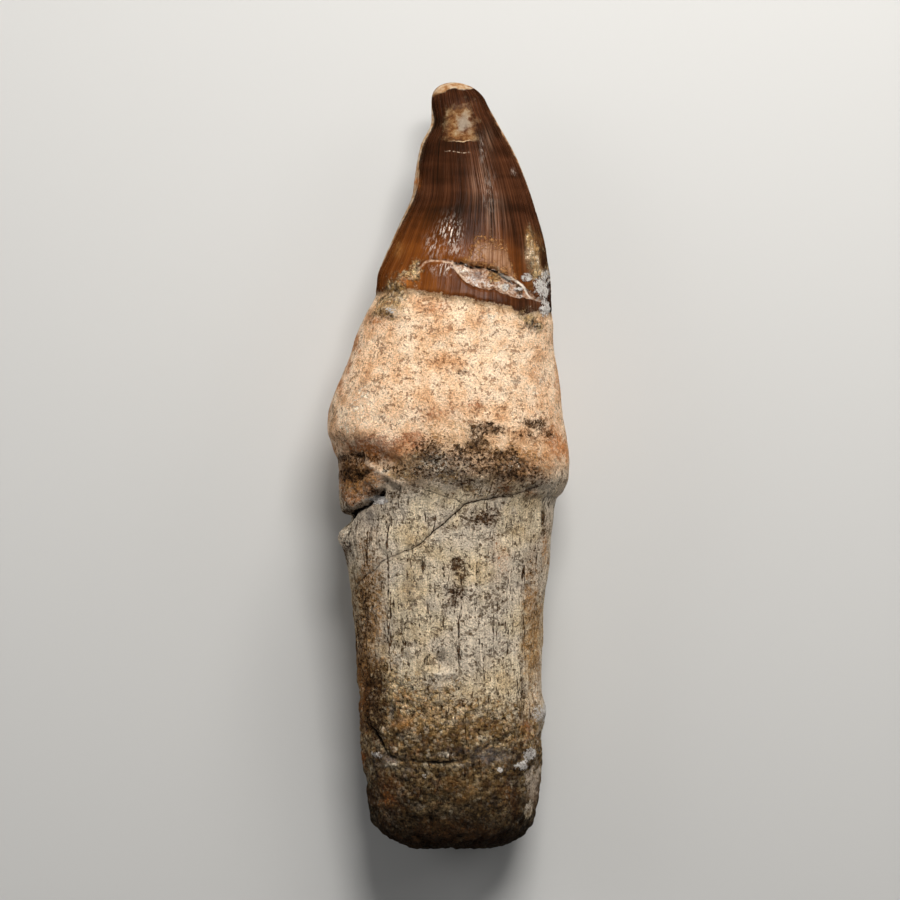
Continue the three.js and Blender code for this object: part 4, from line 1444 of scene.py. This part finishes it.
@dataclass(frozen=True)
class Dentine:
    """The pale inside of the crown, bared along the keels, at the tip and where enamel has flaked off."""

    rim: Stops = ((0.36, 0x84572E), (0.46, 0xA47F58), (0.6, 0xB8A48C))
    spall: Stops = ((0.36, 0x4A2A14), (0.45, 0x6C4524), (0.54, 0x85633F), (0.66, 0x9E835E))
    milk: int = 0x938A7C
    edge: int = 0xDDBE98
    flake: Stops = ((0.38, 0x54301C), (0.46, 0x9A7256), (0.54, 0xC0A28C), (0.62, 0xE2D8D0))
    roughness: float = 0.6

    def lay(self, g: Graph, coat: Coat) -> Coat:
        """Bares the dentine through the enamel.

        Args:
            g: The material's nodes.
            coat: The coat so far.

        Returns:
            The coat with the worn places.
        """
        torn = g.swing(g.noise(g.place, 1.9, 3.0, 0.7))
        clouds = g.noise(g.place, 0.9, 3.0, 0.65)
        rim = g.step(g.add(g.measure("rim"), g.times(torn, 0.5)), -0.05, 0.07)
        tip = g.step(g.add(g.measure("tip_wear"), g.times(torn, 0.7)), -0.15, 0.2)
        bared = Coat(g.ramp(clouds, self.rim), g.times(clouds, 0.2), self.roughness)
        coat = g.lay(g.most(rim, tip), coat, bared)

        blotches = g.noise(g.place, 0.6, 4.0, 0.75)
        depth = g.add(g.measure("spall"), g.swing(blotches, 0.9))
        above = g.step(g.add(g.measure("spall_foot"), g.times(torn, 0.6)), -0.06, 0.1)
        share = g.times(g.step(depth, 0.1, 0.6), above, 0.94)
        milk = g.step(g.add(g.measure("spall_white"), g.swing(blotches, 2.2)), 0.1, 0.9)
        colour = g.blend(g.times(milk, 0.7), g.ramp(blotches, self.spall), self.milk)
        coat = g.lay(share, coat, Coat(colour, g.times(blotches, 0.25), 0.8))
        foot = g.size(g.add(g.measure("spall_foot"), -0.12, g.times(torn, 0.8)))
        edge = g.times(g.step(foot, 0.2, 0.04), g.step(g.measure("spall"), 0.25, 0.6), 0.75)
        coat = g.lay(edge, coat, Coat(self.edge, 0.3, self.roughness))

        rubble = g.noise(g.place, 0.8, 4.0, 0.8)
        flake = g.step(g.add(g.measure("flake"), g.times(torn, 0.7)), -0.05, 0.08)
        factor = g.from_base(0.24, g.noise(g.place, 2.2, 3.0, 0.8), 1.4)
        colour = g.lit(g.ramp(rubble, self.flake), factor)
        return g.lay(flake, coat, Coat(colour, g.times(rubble, 0.8), self.roughness))


@dataclass(frozen=True)
class Stains:
    """Dark, rusty and pale grains that gather into stains, thickest where the carving says; a few of the
    spots paint shade or highlight instead.
    """

    black: int = 0x1B130B
    brown: int = 0x5E3D1F
    rust: int = 0xAE6426
    blush: int = 0x9C5A34
    sand: int = 0xB8884E
    bright: int = 0xF3E3CB
    smoke: int = 0x928884

    def lay(self, g: Graph, coat: Coat, bare: Value) -> Coat:
        """Strews the grains over a coat.

        Args:
            g: The material's nodes.
            coat: The coat so far.
            bare: The share of the surface that isn't enamel.

        Returns:
            The stained coat.
        """
        patchy = g.most(g.from_base(-0.5, g.noise(g.place, 0.7, 3.0, 0.75), 3.0), 0.0)
        fine = g.noise(g.place, 2.1, 3.0, 0.7)
        other = g.stretched((1.0, -1.0, 1.0), 2.0, 3.0, 0.75)
        speckle = g.stretched((-1.0, -1.0, 1.0), 2.2, 3.0, 0.8)
        for tone, colour, top, soft in (
            (Tone.BLUSH, self.blush, 0.65, 0.4), (Tone.RUST, self.rust, 0.75, 0.4),
            (Tone.SAND, self.sand, 0.75, 0.5), (Tone.SMOKE, self.smoke, 0.6, 0.6),
            (Tone.UMBER, self.brown, 0.8, 0.45), (Tone.PALE, self.bright, 0.85, 0.3),
        ):
            density = g.least(g.times(g.measure(tone.value), patchy), 1.15)
            film = g.times(g.step(density, 0.0, 1.2), soft)
            share = g.most(g.grains(other, 0.2, density, 0.32, 0.06), film)
            shade = g.lit(colour, g.most(g.from_base(-1.0, speckle, 4.0), 0.2))
            coat = g.tint(g.times(share, top), coat, shade)
        ash = g.measure("ash")
        calm = g.less(1.0, g.times(g.measure("polished"), 0.5))
        crowd = g.least(g.times(g.measure("umber"), patchy), 0.85)
        crowd = g.add(crowd, g.times(ash, 0.04))
        clots = g.stretched((1.0, 1.0, -1.0), 1.25, 3.0, 0.8)
        specks = g.most(g.grains(fine, 0.25, crowd, 0.27, 0.04), g.grains(clots, 0.2, crowd, 0.2, 0.04))
        dash = g.striae(2.9, 0.5, 2.0)
        columns = g.striae(0.6, 0.05, 3.0, 0.75)
        crowd = g.add(g.times(columns, 0.6), g.times(g.measure("dash"), 0.16))
        dashes = g.times(g.grains(dash, 0.02, crowd, 1.0, 0.04), g.most(ash, g.measure("dash")))
        dark = g.times(g.most(specks, dashes), calm, bare)
        colour = g.blend(g.step(other, 0.4, 0.62), self.black, self.brown)
        return g.lay(g.times(dark, 0.92), coat, Coat(colour, g.less(coat.height, 0.25), 0.85))


@dataclass(frozen=True)
class FossilFinish:
    """The tooth's finish: bone, rock, enamel and bared dentine, layered on one surface."""

    bone: Bone = Bone()
    rock: Rock = Rock()
    enamel: Enamel = Enamel()
    dentine: Dentine = Dentine()
    stains: Stains = Stains()
    # the cracks' colour, which also paints the shade in the hollows
    crack: int = 0x140C06
    lip: int = 0xE0C4A8
    crystal: int = 0xF6E8D6
    stained: int = 0x5A3518
    film: Stops = ((0.4, 0x6A4630), (0.5, 0x8E6648), (0.6, 0xA98467))
    gold: int = 0xAE7D4C
    calcite: Stops = ((0.36, 0x7E6856), (0.43, 0xDCCEC4), (0.5, 0xFFF8F0))
    olive: int = 0x7A5C30
    specular: float = 0.2
    relief_depth: float = 0.0011

    def material(self) -> bpy.types.Material:
        """Makes the whole finish as one material.

        Returns:
            The material.
        """
        g = Graph("fossil_tooth")
        coat = self.bone.paint(g)
        edge = g.add(g.measure("enamel"), g.swing(g.noise(g.place, 1.3, 3.0, 0.75), 1.5))
        on_crown = g.step(edge, -0.2, 0.15)
        shade = g.times(g.step(edge, -1.7, -0.1), g.step(edge, 0.2, -0.1), 0.6)
        coat = g.tint(shade, coat, self.olive, 0.7)
        coat = g.lay(on_crown, coat, self.enamel.paint(g))
        coat = self.film_patch(g, coat)
        coat = self.dentine.lay(g, coat)

        crust = g.measure("crust")
        ragged = g.from_base(-0.6, g.noise(g.place, 0.7, 4.0, 0.8), 2.2)
        crusted = g.times(g.step(g.less(crust, ragged), -0.25, 0.15), g.step(crust, 0.01, 0.08))
        coat = g.lay(crusted, coat, self.rock.paint(g))
        bare = g.most(g.less(1.0, on_crown), crusted)
        coat = self.stains.lay(g, coat, g.most(bare, g.step(g.measure("flake"), -0.1, 0.1)))
        coat = self.cracks(g, coat)

        crumbs = g.noise(g.place, 2.2, 4.0, 0.8)
        calcite = g.measure("calcite")
        broken = g.from_base(-1.24, g.noise(g.place, 1.9, 3.0, 0.8), 3.4)
        white = g.times(g.step(g.less(calcite, broken), -0.06, 0.08), g.step(calcite, 0.2, 0.4))
        coat = g.lay(white, coat, Coat(g.ramp(crumbs, self.calcite), g.times(crumbs, 1.1), 0.35))
        # painted shade: the carving's hollows are darkened with the cracks' colour
        coat = g.tint(g.times(g.step(g.measure("hollow"), 0.03, 0.35), 0.55), coat, self.crack)

        g.feed(g.shader.inputs["Base Color"], coat.colour)
        g.feed(g.shader.inputs["Roughness"], coat.roughness)
        bump = g.tree.nodes.new("ShaderNodeBump")
        bump.inputs["Strength"].default_value = 1.0
        bump.inputs["Distance"].default_value = self.relief_depth
        g.feed(bump.inputs["Height"], coat.height)
        g.feed(g.shader.inputs["Normal"], bump.outputs[0])
        g.shader.inputs["Specular IOR Level"].default_value = self.specular
        return g.material

    def film_patch(self, g: Graph, coat: Coat) -> Coat:
        """Lays the thin tan film that is left over the enamel above the crack.

        Args:
            g: The material's nodes.
            coat: The coat so far.

        Returns:
            The coat with the film.
        """
        inside = g.add(g.measure("film"), g.swing(g.noise(g.place, 0.6, 3.0, 0.75), 6.0))
        film = Coat(g.ramp(g.striae(2.2, 0.12, 2.0, 0.7), self.film), 0.06, 0.4)
        coat = g.lay(g.times(g.step(inside, -1.4, 2.4), 0.8), coat, film)
        speckled = g.step(g.noise(g.place, 2.1), 0.49, 0.58)
        gold = g.times(g.step(inside, -1.6, 0.0), g.step(inside, 2.0, 0.2), speckled)
        return g.lay(g.times(gold, 0.7), coat, Coat(self.gold, 0.25, 0.4))

    def cracks(self, g: Graph, coat: Coat) -> Coat:
        """Draws the cracks: dark lines, with the pale lip of the crown's broken edge.

        Args:
            g: The material's nodes.
            coat: The coat so far.

        Returns:
            The coat with the cracks.
        """
        broken = g.measure("break_on")
        lip = g.step(g.size(g.add(g.measure("break"), 0.32)), 0.28, 0.1)
        beside = g.step(g.measure("flake"), 0.1, -0.15)
        patchy = g.step(g.noise(g.place, 1.3, 3.0, 0.75), 0.42, 0.52)
        share = g.times(lip, broken, beside, g.between(patchy, 0.25, 0.9))
        coat = g.tint(share, coat, self.lip, 0.5)
        smudged = g.step(g.noise(g.place, 1.7, 3.0, 0.8), 0.46, 0.58)
        smear = g.times(g.line("hairline", 0.3, 0.35), smudged, 0.55)
        coat = g.tint(smear, coat, self.stained, 0.9)
        dark = (self.crack, 0.9)
        for name, half_width, soft, strength, colour, roughness in (
            ("hairline", 0.08, 0.1, 0.9, *dark), ("second", 0.06, 0.1, 0.8, *dark),
            ("spur", 0.05, 0.1, 0.8, *dark), ("end_crack", 0.2, 0.1, 1.0, *dark),
            ("slot", 0.28, 0.1, 1.0, *dark), ("under_crack", 0.12, 0.1, 0.9, *dark),
            ("fissure", 0.06, 0.1, 0.7, *dark), ("break", 0.14, 0.1, patchy, *dark),
            ("vein", 0.15, 0.1, 0.95, self.crystal, 0.4), ("shard", 0.2, 0.1, 0.7, self.lip, 0.4),
            ("crest", 0.12, 0.35, 0.75, self.lip, 0.6),
        ):
            share = g.times(g.line(name, half_width, soft), strength)
            coat = g.tint(share, coat, colour, roughness)
        ticks = g.step(g.striae(2.6, 0.3, 2.0), 0.4, 0.55)
        return g.tint(g.times(g.line("scratch", 0.05), ticks, 0.7), coat, self.lip, 0.5)


# ---- The tooth ------------------------------------------------------------------------------------------


@dataclass
class Tooth:
    """The fossil tooth: its blank, carved and finished."""

    blank: Blank = field(default_factory=Blank)
    carving: Carving = field(default_factory=Carving)
    finish: FossilFinish = FossilFinish()
    pole_relief: float = 0.35  # the share of the relief at the poles of the rounded ends
    pole_gain: float = 2.5  # and how fast it rises from there
    hollow_rounds: int = 8
    map_margin: float = 0.002

    def build(self) -> bpy.types.Object:
        """Makes the tooth and gives it its finish.

        Returns:
            The finished piece.
        """
        tooth = self.blank.raise_rings()
        tooth.name = tooth.data.name = "fossil_tooth_skin"
        self.blank.refine(tooth)
        skin = self.blank.settle(tooth)
        self.write(tooth, skin.place)
        height = self.carving.relief(skin) * np.minimum(1, self.pole_gain * skin.share + self.pole_relief)
        skin.measures["hollow"] = self.hollows(tooth, height)
        place = skin.place + self.outward(tooth) * height[:, None]
        place[:, 2] = np.maximum(place[:, 2], 0)
        self.write(tooth, place)
        self.note(tooth, skin)
        self.unwrap(tooth, skin)
        bpy.ops.object.select_all(action="DESELECT")
        tooth.select_set(True)
        bpy.context.view_layer.objects.active = tooth
        bpy.ops.object.shade_smooth()
        tooth.data.materials.append(self.finish.material())
        return tooth

    def write(self, tooth: bpy.types.Object, place: np.ndarray) -> None:
        """Moves the mesh's points to these places, given in millimetres."""
        tooth.data.vertices.foreach_set("co", (place * MM).astype(np.float32).ravel())
        tooth.data.update()

    def outward(self, tooth: bpy.types.Object) -> np.ndarray:
        """The way that each point moves when it is carved: straight out of the surface.

        Args:
            tooth: The mesh.

        Returns:
            (n, 3) directions.
        """
        normals = np.empty(len(tooth.data.vertices) * 3, np.float32)
        tooth.data.vertex_normals.foreach_get("vector", normals)
        return normals.reshape(-1, 3).astype(float)

    def hollows(self, tooth: bpy.types.Object, height: np.ndarray) -> np.ndarray:
        """How far each point lies below the surface around it, in millimetres.

        Args:
            tooth: The mesh.
            height: The relief at each point.

        Returns:
            One number a point, positive in a hollow.
        """
        edges = np.empty(len(tooth.data.edges) * 2, np.int64)
        tooth.data.edges.foreach_get("vertices", edges)
        a, b = edges.reshape(-1, 2).T
        count = len(height)
        shares = np.bincount(a, minlength=count) + np.bincount(b, minlength=count)
        around = height
        for _ in range(self.hollow_rounds):
            gained = np.bincount(a, around[b], count) + np.bincount(b, around[a], count)
            around = 0.5 * around + 0.5 * gained / shares
        return around - height

    def note(self, tooth: bpy.types.Object, skin: Skin) -> None:
        """Writes the skin's measures on the mesh, for the finish to read.

        Args:
            tooth: The mesh.
            skin: The surface with its measures.
        """
        for name, values in skin.measures.items():
            attribute = tooth.data.attributes.new(name, "FLOAT", "POINT")
            attribute.data.foreach_set("value", values.astype(np.float32))
        attribute = tooth.data.attributes.new("flow", "FLOAT_VECTOR", "POINT")
        attribute.data.foreach_set("vector", skin.flow.astype(np.float32).ravel())

    def unwrap(self, tooth: bpy.types.Object, skin: Skin) -> None:
        """Unrolls the skin into a map: round the tooth by along it, with one seam underneath.

        Args:
            tooth: The mesh.
            skin: Its surface.
        """
        corners = np.empty(len(tooth.data.loops), np.int64)
        tooth.data.loops.foreach_get("vertex_index", corners)
        across = ((skin.angle / TURN + 0.25) % 1.0)[corners]
        along = (skin.ring / skin.ring.max())[corners]
        starts = np.empty(len(tooth.data.polygons), np.int64)
        tooth.data.polygons.foreach_get("loop_start", starts)
        face = np.searchsorted(starts, np.arange(len(corners)), side="right") - 1
        high = np.zeros(len(starts))
        np.maximum.at(high, face, across)
        across = np.where((high[face] > 0.75) & (across < 0.25), across + 1, across)
        lowest, highest = across.min(), across.max()
        layer = tooth.data.uv_layers.new(name="OFBake")
        places = np.stack([(across - lowest) / (highest - lowest), along], axis=1)
        places = places * (1 - 2 * self.map_margin) + self.map_margin
        layer.data.foreach_set("uv", places.astype(np.float32).ravel())


# ---- The studio -----------------------------------------------------------------------------------------


@dataclass(frozen=True)
class Lamp:
    """A soft light: where it hangs, its width and height, its strength, and what it lights."""

    name: str
    place: tuple[float, float, float]
    size: tuple[float, float]
    watts: float
    tint: Colour = (1.0, 1.0, 1.0)
    gloss_only: bool = False

    def hang(self, target: Vector) -> None:
        """Adds the light.

        Args:
            target: The place that it is aimed at.
        """
        data = bpy.data.lights.new(self.name, "AREA")
        data.shape = "RECTANGLE"
        data.size, data.size_y = self.size
        data.energy = self.watts
        data.color = self.tint
        lamp = bpy.data.objects.new(self.name, data)
        lamp.location = self.place
        lamp.visible_glossy = self.gloss_only
        lamp.visible_diffuse = not self.gloss_only
        lamp.rotation_euler = (target - Vector(self.place)).to_track_quat("-Z", "Y").to_euler()
        bpy.context.scene.collection.objects.link(lamp)


@dataclass
class Studio:
    """A plain pale floor, soft light and a camera that looks straight down on the tooth."""

    lens: float = 150.0  # from the eye, the picture is 147 mm wide at half the tooth's height
    sensor: float = 36.0
    lamps: tuple[Lamp, ...] = (
        Lamp("key", (0.06, 0.21, 0.345), (0.16, 0.06), 1.15, (1.0, 0.985, 0.96)),
        Lamp("gleam", (0.06, 0.21, 0.345), (0.16, 0.06), 0.75, gloss_only=True),
        Lamp("rake", (0.08, 0.42, 0.23), (0.20, 0.10), 1.45, (1.0, 0.97, 0.93)),
        Lamp("fill_left", (-0.45, 0.15, 0.28), (0.30, 0.30), 0.5),
        Lamp("fill_right", (0.45, 0.25, 0.32), (0.25, 0.25), 0.34),
    )
    sky: float = 0.12
    floor_size: float = 6.0
    floor_colour: Colour = (0.6, 0.595, 0.58)
    floor_roughness: float = 0.7

    def camera(self) -> None:
        """Sets the camera over the tooth, with the crown at the top of the picture."""
        data = bpy.data.cameras.new("camera")
        data.lens, data.sensor_width, data.sensor_fit = self.lens, self.sensor, "HORIZONTAL"
        camera = bpy.data.objects.new("camera", data)
        camera.location = Vector(EYE) * MM
        bpy.context.scene.collection.objects.link(camera)
        bpy.context.scene.camera = camera

    def floor(self) -> None:
        """Lays the pale floor."""
        bpy.ops.object.select_all(action="DESELECT")
        bpy.ops.mesh.primitive_plane_add(size=self.floor_size, location=(0, 0, 0))
        floor = bpy.context.object
        floor.name = "floor"
        material = bpy.data.materials.new("pale_floor")
        material.use_nodes = True
        shader = material.node_tree.nodes["Principled BSDF"]
        shader.inputs["Base Color"].default_value = (*self.floor_colour, 1)
        shader.inputs["Roughness"].default_value = self.floor_roughness
        floor.data.materials.append(material)
        floor.visible_glossy = False

    def light(self) -> None:
        """Hangs the lamps and sets a faint even sky."""
        for lamp in self.lamps:
            lamp.hang(Vector((0, 0, LEVEL)) * MM)
        world = bpy.data.worlds.new("studio")
        world.use_nodes = True
        backdrop = world.node_tree.nodes["Background"]
        backdrop.inputs["Color"].default_value = (1, 1, 1, 1)
        backdrop.inputs["Strength"].default_value = self.sky
        bpy.context.scene.world = world
        world.cycles_visibility.glossy = False
        bpy.context.scene.view_settings.view_transform = "Standard"

    def build(self) -> None:
        """Sets up everything that isn't the tooth."""
        self.camera()
        self.floor()
        self.light()


def main() -> None:
    """Builds the tooth and the studio around it."""
    logging.basicConfig(level=logging.INFO, format="%(name)s: %(message)s")
    Studio().build()
    tooth = Tooth().build()
    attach(tooth, "root")
    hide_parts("tooth")
    log.info("%s: %d faces", tooth.name, len(tooth.data.polygons))


if __name__ == "__main__":
    main()
